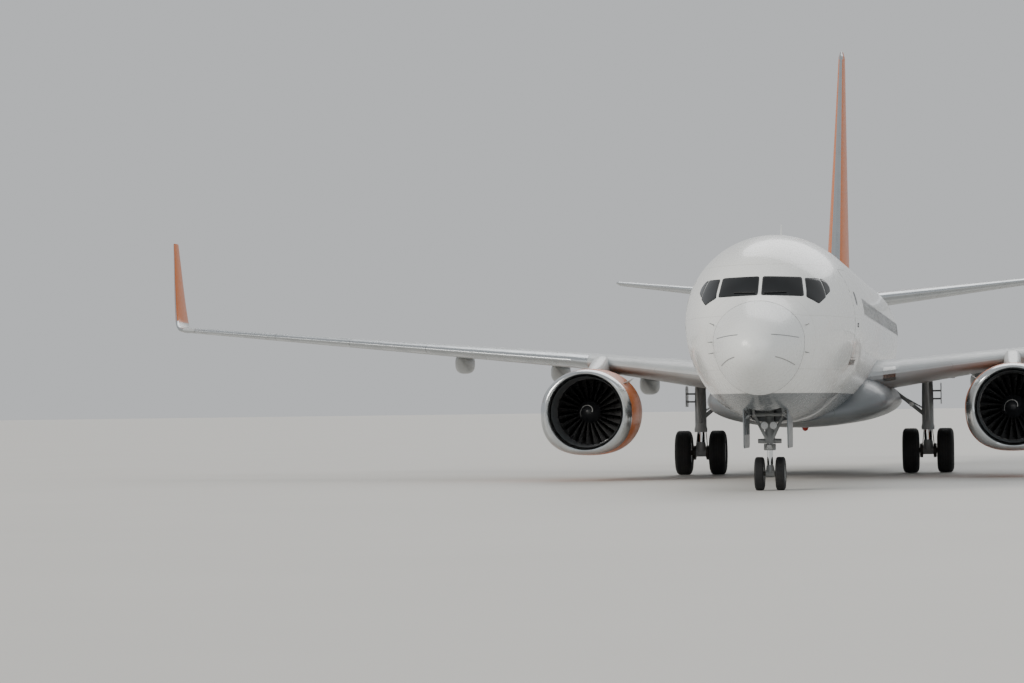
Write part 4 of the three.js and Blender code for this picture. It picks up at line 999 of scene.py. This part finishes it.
def add_wing(suffix, side):
    foil = flat_foil(WING, 1, side)
    noses, aileron_cut = hinge_line(foil, AILERON)
    cuts = [(x0, x1, line(((x0, s0), (x1, s1)))) for x0, x1, s0, s1 in FLAPS] + [aileron_cut]
    wing = Shape()
    for a, b, rear in runs(WING[0][0], WING[-1][0], (*ROOT_LAMP, WING[1][0], SLAT_FROM_X, SLAT_TO_X), cuts):
        finish = edged(2, "wing_grey_paint", "bare_fitting_metal") if a == ROOT_LAMP[0] else "wing_grey_paint"
        front = slat_back(2) if SLAT_FROM_X <= a and b <= SLAT_TO_X else None
        foil_skin(wing, foil, a, b, finish, front, rear)
    add_spoilers(wing, side)
    # Static wicks on the trailing edge of the tip
    for x in WICKS_AT:
        tip = foil_ring(foil, x)[0]
        wing.hose([tip + AFT * aft + UP * up for aft, up in ((-0.04, 0.004), (0.06, 0.006), (0.17, 0.008))],
                  3.5, "hose_rubber", 6)
    for x in CANOES_AT:
        canoe(wing, x, side)
    x, station, *heights = JACK_PAD
    wing.rod(*(spot(side * x, station, z) for z in heights), 70, "bare_fitting_metal")
    wing.piece(f"wing_skin_{suffix}", "airframe", "wing_grey", f"wing_{suffix}", 30)

    slats = Shape()
    for x0, x1 in SLATS:
        foil_skin(slats, foil, x0, x1, "slat_metal", None, slat_back(-3))
    slats.piece(f"slat_run_{suffix}", "airframe", "bare_metal", f"slats_{suffix}", 30)

    for name, (x0, x1, s0, s1) in zip(("inboard", "outboard"), FLAPS):
        flap, front = Shape(), line(((x0, s0 + 4), (x1, s1 + 4)))
        places = (x0 + 5, *spread(x0, x1, 4)[1:-1], x1 - 5)
        flap.loft([foil_ring(foil, x, front(x)) for x in places], "wing_grey_paint")
        flap.piece(f"flap_{name}_{suffix}_skin", "airframe", "wing_grey", f"flap_{name}_{suffix}", 30)
    add_control(f"aileron_{suffix}", foil, noses, "wing_grey", "wing_grey_paint")
    add_winglet(suffix, side)


def add_spoilers(wing, side):
    """Spoiler panels on the upper skin ahead of the flaps, each over a dark seal."""
    def upper(x, station, lift):
        _, lead, chord, height, thickness = straight(WING, x)
        u = (station - lead) / chord
        return spot(side * x, station, height + (mean_line(u) + half_thickness(thickness, u)) * chord + lift)

    for (x0, x1, s0, s1), panels in zip(FLAPS, SPOILERS):
        behind = line(((x0, s0), (x1, s1)))
        for inner, outer in panels:
            first, last = behind(inner), behind(outer)
            for margin, lift, finish in ((0, 2.0, "seal_rubber"), (9, 4.0, "wing_grey_paint")):
                outline = [(inner + margin, first - 560 + margin), (outer - margin, last - 560 + margin),
                           (outer - margin, last - 20 - margin), (inner + margin, first - 20 - margin)]
                patch(wing, dense(outline, 180), upper, -4, lift, finish, 5)


def add_winglet(suffix, side):
    """The wing tip curves up through the table's rows into a flat, swept blade."""
    rows = [(0.0,) + WINGLET[0]]
    for before, row in zip(WINGLET, WINGLET[1:]):
        rows.append((rows[-1][0] + math.hypot(row[0] - before[0], row[2] - before[2]),) + row)
    rings = []
    for along in spread(0, rows[3][0], 14) + spread(rows[3][0], rows[-1][0], 8)[1:]:
        x, station, height, chord, cant = (smooth(rows, column, along) for column in range(1, 6))
        lean = math.radians(cant)
        rings.append([spot(side * (x - lift * math.sin(lean)), station + aft, height + lift * math.cos(lean))
                      for aft, lift in section(chord, WINGLET_THICKNESS, 1)])
    shape = Shape()
    shape.loft(rings, lambda ring, point: edged(3 if ring < 12 else 1, "winglet_paint")(ring, point))
    shape.piece(f"winglet_{suffix}_skin", "airframe", "orange", f"winglet_{suffix}", 30)


def add_fin():
    """Fin, its long dorsal fillet and the rudder behind it."""
    foil = FIN, 0, lambda height, station, x: spot(x, station, height)
    noses, rudder_cut = hinge_line(foil, RUDDER)
    shape = Shape()
    for a, b, rear in runs(FIN[0][0], FIN[-1][0], (FIN[1][0],), [rudder_cut]):
        foil_skin(shape, foil, a, b, edged(3, "orange_topcoat"), None, rear)
    rings = []
    for station in stations((DORSAL[0][0], DORSAL[-1][0], 200)):
        ridge, half = smooth(DORSAL, 1, station), smooth(DORSAL, 2, station)
        left = [(half, FIN[0][0])] + [(half * (1 - t) ** 1.15, DORSAL_FOOT + (ridge - DORSAL_FOOT) * t)
                                      for t in spread(0, 1, 10)[:-1]]
        ring = left + [(0, ridge)] + [(-x, z) for x, z in reversed(left)]
        rings.append([spot(x, station, z) for x, z in ring])
    shape.loft(rings, "orange_topcoat")
    shape.piece("fin_skin", "airframe", "orange", "fin", 30)
    add_control("rudder", foil, noses, "orange", "orange_topcoat")


def add_tailplane(suffix, side):
    foil = flat_foil(TAILPLANE, 0, side)
    noses, elevator_cut = hinge_line(foil, ELEVATOR)
    shape = Shape()
    for a, b, rear in runs(TAILPLANE[0][0], TAILPLANE[-1][0], (TAILPLANE[1][0],), [elevator_cut]):
        foil_skin(shape, foil, a, b, edged(5, "wing_grey_paint"), None, rear)
    shape.piece(f"tailplane_{suffix}_skin", "airframe", "wing_grey", f"tailplane_{suffix}", 30)
    add_control(f"elevator_{suffix}", foil, noses, "wing_grey", "wing_grey_paint")


# Geometry node trees

def start_tree(name, sockets):
    """A node tree with inputs from names and their kinds, and the sockets that give their values."""
    tree = bpy.data.node_groups.new(name, "GeometryNodeTree")
    for socket, kind in {"Geometry": "Geometry", **sockets}.items():
        tree.interface.new_socket(socket, in_out="INPUT", socket_type=f"NodeSocket{kind}")
    tree.interface.new_socket("Geometry", in_out="OUTPUT", socket_type="NodeSocketGeometry")
    return tree, add(tree, "NodeGroupInput").outputs


def dressed(tree, instances, finish):
    """Instances made real and given a material."""
    real = add(tree, "GeometryNodeRealizeInstances", {"Geometry": instances}).outputs[0]
    return add(tree, "GeometryNodeSetMaterial", {"Geometry": real, "Material": finish}).outputs[0]


def ring_tree():
    """A node tree that sets copies of an object in a ring about an axis."""
    tree, given = start_tree("ring_of_copies", {
        "Copy": "Object", "Count": "Int", "Centre": "Vector", "Turn": "Vector", "Finish": "Material"})
    points = add(tree, "GeometryNodePoints", {"Count": given["Count"]})
    step = calc(tree, "DIVIDE", 2 * math.pi, given["Count"])
    angle = calc(tree, "MULTIPLY", add(tree, "GeometryNodeInputIndex").outputs[0], step)
    turned = add(tree, "ShaderNodeVectorMath", {0: given["Turn"], "Scale": angle},
                 operation="SCALE").outputs[0]
    copy = add(tree, "GeometryNodeObjectInfo", {"Object": given["Copy"]}).outputs["Geometry"]
    placed = add(tree, "GeometryNodeInstanceOnPoints", {
        "Points": points.outputs[0], "Instance": copy, "Rotation": turned})
    moved = add(tree, "GeometryNodeTranslateInstances", {
        "Instances": placed.outputs[0], "Translation": given["Centre"], "Local Space": False})
    add(tree, "NodeGroupOutput", {0: dressed(tree, moved.outputs[0], given["Finish"])})
    return tree


def window_tree():
    """A node tree that sets a curved pane and its frame on each point, turned to face outward."""
    tree, given = start_tree("window_row", {
        "Wide": "Float", "Tall": "Float", "Frame": "Float", "Skin radius": "Float", "Pane finish": "Material",
        "Frame finish": "Material"})

    def disc(wide, tall, proud):
        """A thin rounded slab bent to the skin: its depth lies along X."""
        slab = add(tree, "GeometryNodeMeshCylinder", {"Vertices": 28, "Radius": 1.0, "Depth": 0.010},
                   fill_type="TRIANGLE_FAN").outputs["Mesh"]
        position = add(tree, "GeometryNodeInputPosition").outputs[0]
        axes = add(tree, "ShaderNodeSeparateXYZ", {0: position}).outputs
        moved = []
        for axis, size in ((axes[0], wide), (axes[1], tall)):
            share = calc(tree, "POWER", calc(tree, "ABSOLUTE", axis), 0.55)
            share = calc(tree, "MULTIPLY", share, calc(tree, "SIGN", axis))
            moved.append(calc(tree, "MULTIPLY", share, calc(tree, "DIVIDE", size, 2.0)))
        bend = calc(tree, "MULTIPLY", given["Skin radius"], 2.0)
        sag = calc(tree, "DIVIDE", calc(tree, "MULTIPLY", moved[1], moved[1]), bend)
        depth = calc(tree, "SUBTRACT", calc(tree, "ADD", axes[2], proud), sag)
        place = add(tree, "ShaderNodeCombineXYZ", {0: depth, 1: moved[0], 2: moved[1]}).outputs[0]
        return add(tree, "GeometryNodeSetPosition", {"Geometry": slab, "Position": place}).outputs[0]

    outward = add(tree, "GeometryNodeInputNamedAttribute", {"Name": "outward"}, data_type="FLOAT_VECTOR")
    facing = {"Vector": outward.outputs[0]}
    for pivot in "ZY":
        turned = add(tree, "FunctionNodeAlignRotationToVector", facing, axis="X", pivot_axis=pivot).outputs[0]
        facing["Rotation"] = turned
    double = calc(tree, "MULTIPLY", given["Frame"], 2.0)
    framed = (calc(tree, "ADD", given[name], double) for name in ("Wide", "Tall"))
    joined = add(tree, "GeometryNodeJoinGeometry")
    for slab, finish in ((disc(given["Wide"], given["Tall"], -0.0015), "Pane finish"),
                         (disc(*framed, -0.0030), "Frame finish")):
        placed = add(tree, "GeometryNodeInstanceOnPoints", {
            "Points": given["Geometry"], "Instance": slab, "Rotation": turned}).outputs[0]
        tree.links.new(dressed(tree, placed, given[finish]), joined.inputs[0])
    add(tree, "NodeGroupOutput", {0: joined.outputs[0]})
    return tree


def run_tree(tree, source, **inputs):
    """Runs a node tree on a mesh and gives back the result as a plain mesh."""
    holder = link_object("holder", source)
    modifier = holder.modifiers.new("tree", "NODES")
    modifier.node_group = tree
    for item in tree.interface.items_tree:
        if item.item_type == "SOCKET" and item.in_out == "INPUT" and item.name in inputs:
            modifier[item.identifier] = inputs[item.name]
    return applied(holder)


def take_ring(shape, mesh, count, centre, turn, finish):
    """Adds copies of a mesh in a ring about a centre. turn is the unit axis that they turn about."""
    copy = link_object("copy", mesh)
    made = run_tree(TREES["ring"], bpy.data.meshes.new("empty"), Copy=copy, Count=count, Centre=list(centre),
                    Turn=list(turn), Finish=MATERIALS[finish])
    bpy.data.objects.remove(copy)
    shape.take(made, finish)


def add_cabin_windows():
    row = CABIN_WINDOWS
    for suffix, side in SIDES:
        places = [s for s in range(row["from"], row["to"] + 1, row["pitch"])
                  if all(abs(s - door) > 300 for door in EXIT["stations"])]
        points = [side_skin(side)(s, row["height"], 0) for s in places]
        mesh = bpy.data.meshes.new("window_points")
        mesh.from_pydata(points, [], [])
        outward = mesh.attributes.new("outward", "FLOAT_VECTOR", "POINT")
        for k, (s, point) in enumerate(zip(places, points)):
            outward.data[k].vector = skin_normal(point.x / MM, s, row["height"])
        made = run_tree(TREES["windows"], mesh, **{
            "Wide": row["wide"] * MM, "Tall": row["tall"] * MM, "Frame": 0.016, "Skin radius": 1.9,
            "Pane finish": MATERIALS["cabin_glass"], "Frame finish": MATERIALS["bare_fitting_metal"]})
        shape = Shape()
        shape.take(made, "cabin_glass")
        shape.piece(f"cabin_windows_{suffix}", "airframe", "glass")


# Engines

def nacelle_point(side, station, way, grow=0.0):
    """A point on the cowl in a direction about the engine's axis. Its lower half is a little square."""
    across, up = way
    half, above, below = (smooth(NACELLE, column, station) + grow for column in (1, 2, 3))
    ease = min(max((NACELLE_ROUND_BY - station) / 3000, 0), 1)
    power, tall = (2 + 0.5 * ease, below) if up < 0 else (2, above)
    reach = (abs(across / half) ** power + abs(up / tall) ** power) ** (-1 / power)
    return spot(side * ENGINE_X + reach * across, station, ENGINE_Z + reach * up)


def cowl_ring(side, station, grow=0.0):
    return [nacelle_point(side, station, way, grow) for way in circle(COWL_SIDES)]


def duct_rings(side, places):
    """Rings on the wall of the inlet and bypass duct."""
    return [round_ring(side * ENGINE_X, ENGINE_Z, s, smooth(DUCT, 1, s), COWL_SIDES) for s in places]


def turned_about_engine(shape, side, profile, finish):
    """A solid turned about the engine's axis from (station, radius) points."""
    x, z = side * ENGINE_X, ENGINE_Z
    shape.loft([round_ring(x, z, s, max(radius, 0.5), 64) for s, radius in profile], finish)


def blade_mesh(name, rings, finish):
    """A blade or vane about the engine's axis at the origin, from rings of points in millimetres."""
    shape = Shape()
    shape.loft([[Vector(point) * MM for point in ring] for ring in rings], finish)
    return shape.mesh(name, 50)


def fan_blade():
    """One fan blade: thin curved sections that twist from hub to tip."""
    rings = []
    for t in spread(0, 1, 8):
        radius, chord, pitch = 240 + 532 * t, 200 + 50 * t, math.radians(28 + 32 * t)
        thick = 11 * (1 - 0.6 * t)
        ring = []
        for u, w in BLADE_SECTION:
            along, off = u * chord, w * thick + 14 * (1 - t) * (1 - 4 * u * u)
            ring.append((radius, along * math.cos(pitch) - off * math.sin(pitch),
                         along * math.sin(pitch) + off * math.cos(pitch)))
        rings.append(ring)
    return blade_mesh("fan_blade", rings, "fan_titanium")


def guide_vane():
    """One outlet guide vane behind the fan."""
    rings = [[(radius, along, off) for along, off in ((-70, -6), (0, 8), (70, 14), (0, -4))]
             for radius in (400, 600, 798)]
    return blade_mesh("guide_vane", rings, "bare_fitting_metal")


def add_cowl(suffix, side):
    """The nacelle's cowl, its joints, the split along its bottom and its strake."""
    cowl = Shape()
    outer = [cowl_ring(side, s) for s in stations((LIP_END, COWL_END, 130))]
    cowl.loft(outer + duct_rings(side, reversed(stations((LIP_END, COWL_END, 200)))),
              lambda ring, k: "orange_topcoat" if ring < len(outer) - 1 else "acoustic_liner", True)
    for station in COWL_JOINTS:
        rings = [cowl_ring(side, station + aft, grow) for aft, grow in reversed(SEAL_STRIP)]
        cowl.loft(rings, "seal_rubber", True)
    rings = []
    for station in stations((LIP_END + 30, 16900, 150)):
        foot = nacelle_point(side, station, (0, -1))
        rings.append([foot + (OUT * across - UP * lift) * MM for across, lift in SEAL_STRIP])
    cowl.loft(rings, "seal_rubber")
    # The strake stands on the side that faces the fuselage
    angle = math.radians(38)
    across, up = -side * math.cos(angle), math.sin(angle)
    out, over = Vector((across, 0, up)), Vector((-up, 0, across))
    rings = []
    for t in spread(0, 1, 12):
        foot = nacelle_point(side, STRAKE["from"] + STRAKE["length"] * t, (across, up))
        tall = 0.01 + 0.19 * min(t / 0.75, 1) ** 0.8 * (1 if t < 0.9 else 1 - (t - 0.9) * 6)
        rings.append([foot + out * lift + over * half for lift, half in (
            (-0.02, -0.012), (-0.02, 0.012), (tall, 0.004), (tall, -0.004))])
    cowl.loft(rings, "pylon_paint")
    cowl.piece(f"nacelle_{suffix}_cowl", "airframe", "orange", f"nacelle_{suffix}", 40)


def add_engine(suffix, side):
    x = side * ENGINE_X
    lip = Shape()
    lip.loft([cowl_ring(side, s) for s in (
        LIP_END - 4, 13180, 13140, 13100, 13070, 13050, 13035, 13022, 13013, 13006, 13000)]
        + duct_rings(side, (13004, 13012, 13024, 13040, 13060, 13085, 13120, 13170, LIP_END - 4)),
        "polished_lip_metal", True)
    lip.piece(f"inlet_lip_{suffix}_shell", "airframe", "bare_metal", f"inlet_lip_{suffix}", 50)
    add_cowl(suffix, side)

    # The core, its nozzle and the plug in it
    core = Shape()
    sleeve = [(s, smooth(CORE, 1, s)) for s in stations((14262, CORE[-1][0], 160))]
    turned_about_engine(core, side, [(14262, 340)] + sleeve + list(PLUG), "nozzle_inconel")
    core.rod(spot(x, 14080, ENGINE_Z), spot(x, 14300, ENGINE_Z), 89, "brake_steel")
    take_ring(core, guide_vane(), 36, spot(x, 14420, ENGINE_Z), AFT, "bare_fitting_metal")
    core.piece(f"engine_core_{suffix}_shell", "airframe", "titanium", f"engine_core_{suffix}")

    fan = Shape()
    hub = [(s, smooth(HUB, 1, s)) for s in (
        13560, 13566, 13575, 13590, 13615, 13650, 13700, 13760, 13820, 13880, 13960, 14060, 14150, 14238)]
    turned_about_engine(fan, side, hub + [(14238, 92), (14090, 91)], lambda ring, k: (
        "spinner_coating" if ring < 9 else "fan_titanium"))
    spiral = []
    for t in spread(0, 1, 24):
        station, half = 13610 + 190 * t, 0.14 * (1 - 0.5 * t)
        spiral.append([spot(x + (smooth(HUB, 1, station) + lift) * math.cos(3.6 * t + turn), station,
                            ENGINE_Z + (smooth(HUB, 1, station) + lift) * math.sin(3.6 * t + turn))
                       for turn, lift in ((-half, -3), (half, -3), (half, 2), (-half, 2))])
    fan.loft(spiral, "marking_white")
    take_ring(fan, fan_blade(), FAN_BLADES, spot(x, FAN_STATION, ENGINE_Z), AFT, "fan_titanium")
    fan.piece(f"fan_{suffix}_rotor", f"fan_{suffix}", "titanium", f"fan_{suffix}", 50)

    pylon = Shape()
    rings = []
    for station in stations((14250, 15500, 90), (15500, 19500, 200)):
        bottom, top, half = (smooth(PYLON, column, station) for column in (1, 2, 3))
        middle, tall = (bottom + top) / 2, (top - bottom) / 2
        rings.append([spot(x + half * squared(c, 0.55), station, middle + tall * squared(s, 0.7))
                      for c, s in circle(32)])
    pylon.loft(rings, "pylon_paint")
    pylon.piece(f"pylon_{suffix}_skin", "airframe", "white", f"pylon_{suffix}")


# Landing gear

def add_wheel(shape, tyre, x, station, outward, nuts):
    """One wheel about its axle: a grooved tyre, a dished rim and a ring of nuts."""
    radius, half, rim = tyre["radius"], tyre["width"] / 2, tyre["rim"]
    tall, crown = radius - rim, 0.998 * radius
    edge = [(-0.84 * half, rim - 6), (-0.93 * half, rim + 0.10 * tall), (-half, rim + 0.36 * tall),
            (-0.97 * half, rim + 0.62 * tall), (-0.86 * half, rim + 0.84 * tall),
            (-0.72 * half, rim + 0.95 * tall), (-0.62 * half, 0.992 * radius)]
    groove = ((-0.03, crown), (-0.024, 0.984 * radius), (0.024, 0.984 * radius), (0.03, crown))
    outline = edge + [((middle + shift) * half, height) for middle in (-0.45, -0.15, 0.15, 0.45)
                      for shift, height in groove]
    outline += [(-a, r) for a, r in reversed(edge)] + [(0.7 * half, rim - 14), (-0.7 * half, rim - 14)]
    shape.loft([[spot(x + along, station + r * c, radius + r * s) for c, s in circle(72)]
                for along, r in outline], "tyre_rubber", True)
    # The rim's profile, from the inner face to the hub cap: (half widths out, radius)
    dish = ((-0.5, 2), (-0.5, rim * 0.5), (-0.80, rim * 0.9), (-0.84, rim + 4), (-0.80, rim + 8),
            (0.80, rim + 8), (0.85, rim + 2), (0.80, rim * 0.93), (0.62, rim * 0.86), (0.42, rim * 0.62),
            (0.40, rim * 0.44), (0.62, rim * 0.36), (0.66, rim * 0.30), (0.66, 2))
    shape.rod(spot(x - outward * 2 * half, station, radius), spot(x + outward * 2 * half, station, radius),
              [(0.5 + a / 4, r) for a, r in dish], "wheel_enamel", 60)
    nut = Shape()
    height = UP * rim * 0.53 * MM
    nut.rod(height - OUT * 0.009, height + OUT * 0.009, ((0, 9), (0.8, 9), (1, 7)), "bare_fitting_metal", 6)
    centre = spot(x + outward * (0.42 * half + 6), station, radius)
    take_ring(shape, nut.mesh("nut", 30), nuts, centre, OUT, "bare_fitting_metal")


def side_plate(shape, x, outline, thickness, finish):
    """A flat door plate that faces sideways, from a tuple of its (station, height) corners."""
    shape.plate([spot(x, s, z) for s, z in soften(outline, 40)], OUT, thickness, finish, 4)


def add_nose_gear():
    leg = Shape()
    middle = (0, NOSE_GEAR)
    leg.gear(middle, 1, (
        (((0, 0, 2149), (0, 0, 960)), ((0, 95), (0.86, 95), (0.88, 108), (0.97, 108), (1, 100)),
         "gear_enamel", 48),
        (((-359, 0, 1930), (359, 0, 1930)), 60)))
    for _, side in SIDES:
        # Braces, then the taxi and take-off lamps on their bracket, then the steering jacks and the hose
        leg.gear(middle, side, (
            (((60, -60, 1060), (310, -160, 1560)), (36, 30)),
            (((310, -160, 1540), (280, -1150, 2080)), 32),
            (((0, -160, 1550), (310, -160, 1550)), 34),
            (((340, -160, 1550), (270, -160, 1550)), 50, "bare_fitting_metal"),
            (((92, -60, 1330), (92, -205, 1330)), ((0, 20), (0.15, 55), (0.8, 82), (0.95, 86), (1, 80)),
             "gear_enamel", 36),
            (((92, -198, 1330), (92, -212, 1330)), ((0, 76), (0.7, 72), (1, 40)), "lamp_lens", 36),
            (((92, -70, 1330), (0, -70, 1330)), 18),
            (((105, 0, 1010), (240, 0, 1010)), (52, 46)),
            (((70, 85, 2000), (95, 110, 1500), (80, 105, 1150), (70, 60, 985)), 9)))
    leg.piece("nose_leg_strut", "airframe", "gear_grey", "nose_leg")

    # Piston, collar, axle sleeve and its boss, torque links and their pin, and the towing plate
    fork = Shape()
    fork.gear(middle, 1, (
        (((0, 0, 343), (0, 0, 1090)), 61, "oleo_chrome", 40),
        (((0, 0, 820), (0, 0, 953)), ((0, 112), (0.1, 124), (0.9, 124), (1, 118)), "gear_enamel", 48),
        (((-94, 0, 343), (94, 0, 343)), ((0, 60), (0.05, 76), (0.95, 76), (1, 60)), "gear_enamel", 40),
        (((0, 0, 330), (0, 0, 520)), ((0, 70), (0.3, 82), (0.8, 78), (1, 63)), "gear_enamel", 40),
        (((0, 90, 850), (0, 210, 640)), (30, 26)),
        (((0, 210, 640), (0, 50, 420)), (26, 30)),
        (((-45, 210, 640), (45, 210, 640)), 22, "bare_fitting_metal")))
    tow_plate = ((-70, -60), (-70, -150), (-45, -175), (45, -175), (70, -150), (70, -60))
    fork.plate([spot(x, NOSE_GEAR + s, 885) for x, s in tow_plate], UP, 98, "bare_fitting_metal")
    fork.piece("nose_fork_strut", "nose_fork", "gear_grey", "nose_fork")

    wheels = Shape()
    for _, side in SIDES:
        add_wheel(wheels, NOSE_TYRE, side * NOSE_TYRE["offset"], NOSE_GEAR, side, 8)
    reach, axle = NOSE_TYRE["offset"] + 60, NOSE_TYRE["radius"]
    wheels.gear(middle, 1, ((((-reach, 0, axle), (reach, 0, axle)), 46, "brake_steel"),))
    wheels.piece("nose_wheels_pair", "nose_wheels", "tyre", "nose_wheels")

    for suffix, side in SIDES:
        door = Shape()
        side_plate(door, side * 443, NOSE_DOOR, 26, "belly_grey_paint")
        for s in (3150, 3600, 4050):
            door.gear((0, s), side, ((((425, 0, 1150), (425, 0, 1540)), 14, "belly_grey_paint"),
                                     (((430, 0, 1480), (352, 0, 1560)), 18)))
        door.piece(f"nose_gear_door_{suffix}_panel", "airframe", "belly_grey", f"nose_gear_door_{suffix}")


def add_main_gear(suffix, side):
    x, axle = side * HALF_TRACK, MAIN_TYRE["radius"]
    middle = (x, MAIN_GEAR)
    # Strut, piston, axle sleeve and boss, side brace and its jack, drag brace, torque links, door carriers
    leg = Shape()
    leg.gear(middle, side, (
        (((0, 0, 2560), (0, 0, 1080)), ((0, 130), (0.5, 148), (0.9, 148), (0.95, 168), (1, 160)),
         "gear_enamel", 48),
        (((0, 0, 1082), (0, 0, axle)), 98, "oleo_chrome", 40),
        (((-210, 0, axle), (210, 0, axle)), ((0, 88), (0.06, 104), (0.94, 104), (1, 88)), "gear_enamel", 40),
        (((0, 0, axle - 60), (0, 0, 830)), ((0, 90), (0.3, 128), (0.8, 118), (1, 100)), "gear_enamel", 40),
        (((-60, 0, 1440), (-760, 0, 2010)), (52, 44)),
        (((-400, -60, 1717), (-400, 60, 1717)), 60, "bare_fitting_metal"),
        (((-80, 0, 1600), (-640, 60, 1930)), 22, "oleo_chrome"),
        (((0, -40, 1250), (0, -1000, 2300)), (56, 48)),
        (((0, 120, 1060), (0, 360, 830)), (40, 34)),
        (((0, 360, 830), (0, 60, 580)), (34, 40)),
        (((-60, 360, 830), (60, 360, 830)), 30, "bare_fitting_metal"),
        (((0, 0, 1850), (340, 0, 1850)), 22),
        (((0, 0, 2050), (340, 0, 2050)), 22)))
    for end in (-1, 1):
        leg.gear(middle, end, (
            (((128, 0, axle), (207, 0, axle)), BRAKE, "brake_steel", 48),
            (((50, 130, 1700), (90, 190, 1250), (120, 230, 950), (150, 150, axle + 90)), 11)))
    leg.piece(f"main_leg_{suffix}_strut", "airframe", "gear_grey", f"main_leg_{suffix}")

    door = Shape()
    side_plate(door, x + side * 341, MAIN_DOOR, 20, "wing_grey_paint")
    door.piece(f"main_leg_door_{suffix}", "airframe", "wing_grey")

    wheels = Shape()
    for end in (-1, 1):
        add_wheel(wheels, MAIN_TYRE, x + end * MAIN_TYRE["offset"], MAIN_GEAR, end, 9)
    wheels.gear(middle, side, ((((-500, 0, axle), (500, 0, axle)), 64, "brake_steel"),))
    wheels.piece(f"main_wheels_{suffix}_pair", f"main_wheels_{suffix}", "tyre", f"main_wheels_{suffix}")


# Small fittings

def add_fittings():
    """Probes, wipers, blade aerials, beacons and wing tip lamps that stand on the skin."""
    shape = Shape()
    for side, station, z in PROBES:
        foot = side_skin(side)(station, z, -4)
        tip = foot + skin_normal(foot.x / MM, station, z) * 0.085
        shape.rod(foot, tip, (13, 8), "bare_fitting_metal")
        shape.rod(tip, tip - AFT * 0.17, (9, 6), "bare_fitting_metal")
    for side in (-1, 1):
        wiper = [nose_skin(side * x, z, 18) for x, z in zip(spread(95, 520, 4), spread(3960, 3975, 4))]
        shape.hose(wiper, 9, "hose_rubber")
    for station, z, tall, chord in AERIALS:
        rings = []
        for t in (0, 0.35, 0.7, 0.95, 1):
            size, lead = chord * (1 - 0.45 * t), station + chord * 0.42 * t
            rings.append([spot(w * size, lead + u * size, z + tall * t) for u, w in AERIAL_SECTION])
        shape.loft(rings, "white_topcoat" if tall > 0 else "belly_grey_paint")
    for station, z, sign in BEACONS:
        shape.rod(spot(0, station, z - 4 * sign), spot(0, station, z + 95 * sign), (
            (0, 90), (0.2, 88), (0.25, 76), (0.6, 70), (0.9, 40), (1, 6)), "red_lens", 36)
    shape.piece("skin_fittings", "airframe", "bare_metal")

    lamps = Shape()
    for _, side in SIDES:
        lamps.rod(spot(side * 17180, 22760, 3990), spot(side * 17180, 22980, 3988), (
            (0, 4), (0.15, 24), (0.5, 40), (1, 34)), "red_lens" if side > 0 else "green_lens")
    lamps.piece("wing_tip_lamps", "airframe", "glass")


make_materials()
add_camera()
add_stage()
TREES = {"ring": ring_tree(), "windows": window_tree()}
add_fuselage()
add_doors()
add_exits()
add_flight_deck_windows()
add_cabin_windows()
add_fin()
for SUFFIX, SIDE in SIDES:
    add_wing(SUFFIX, SIDE)
    add_tailplane(SUFFIX, SIDE)
    add_engine(SUFFIX, SIDE)
    add_main_gear(SUFFIX, SIDE)
add_nose_gear()
add_fittings()
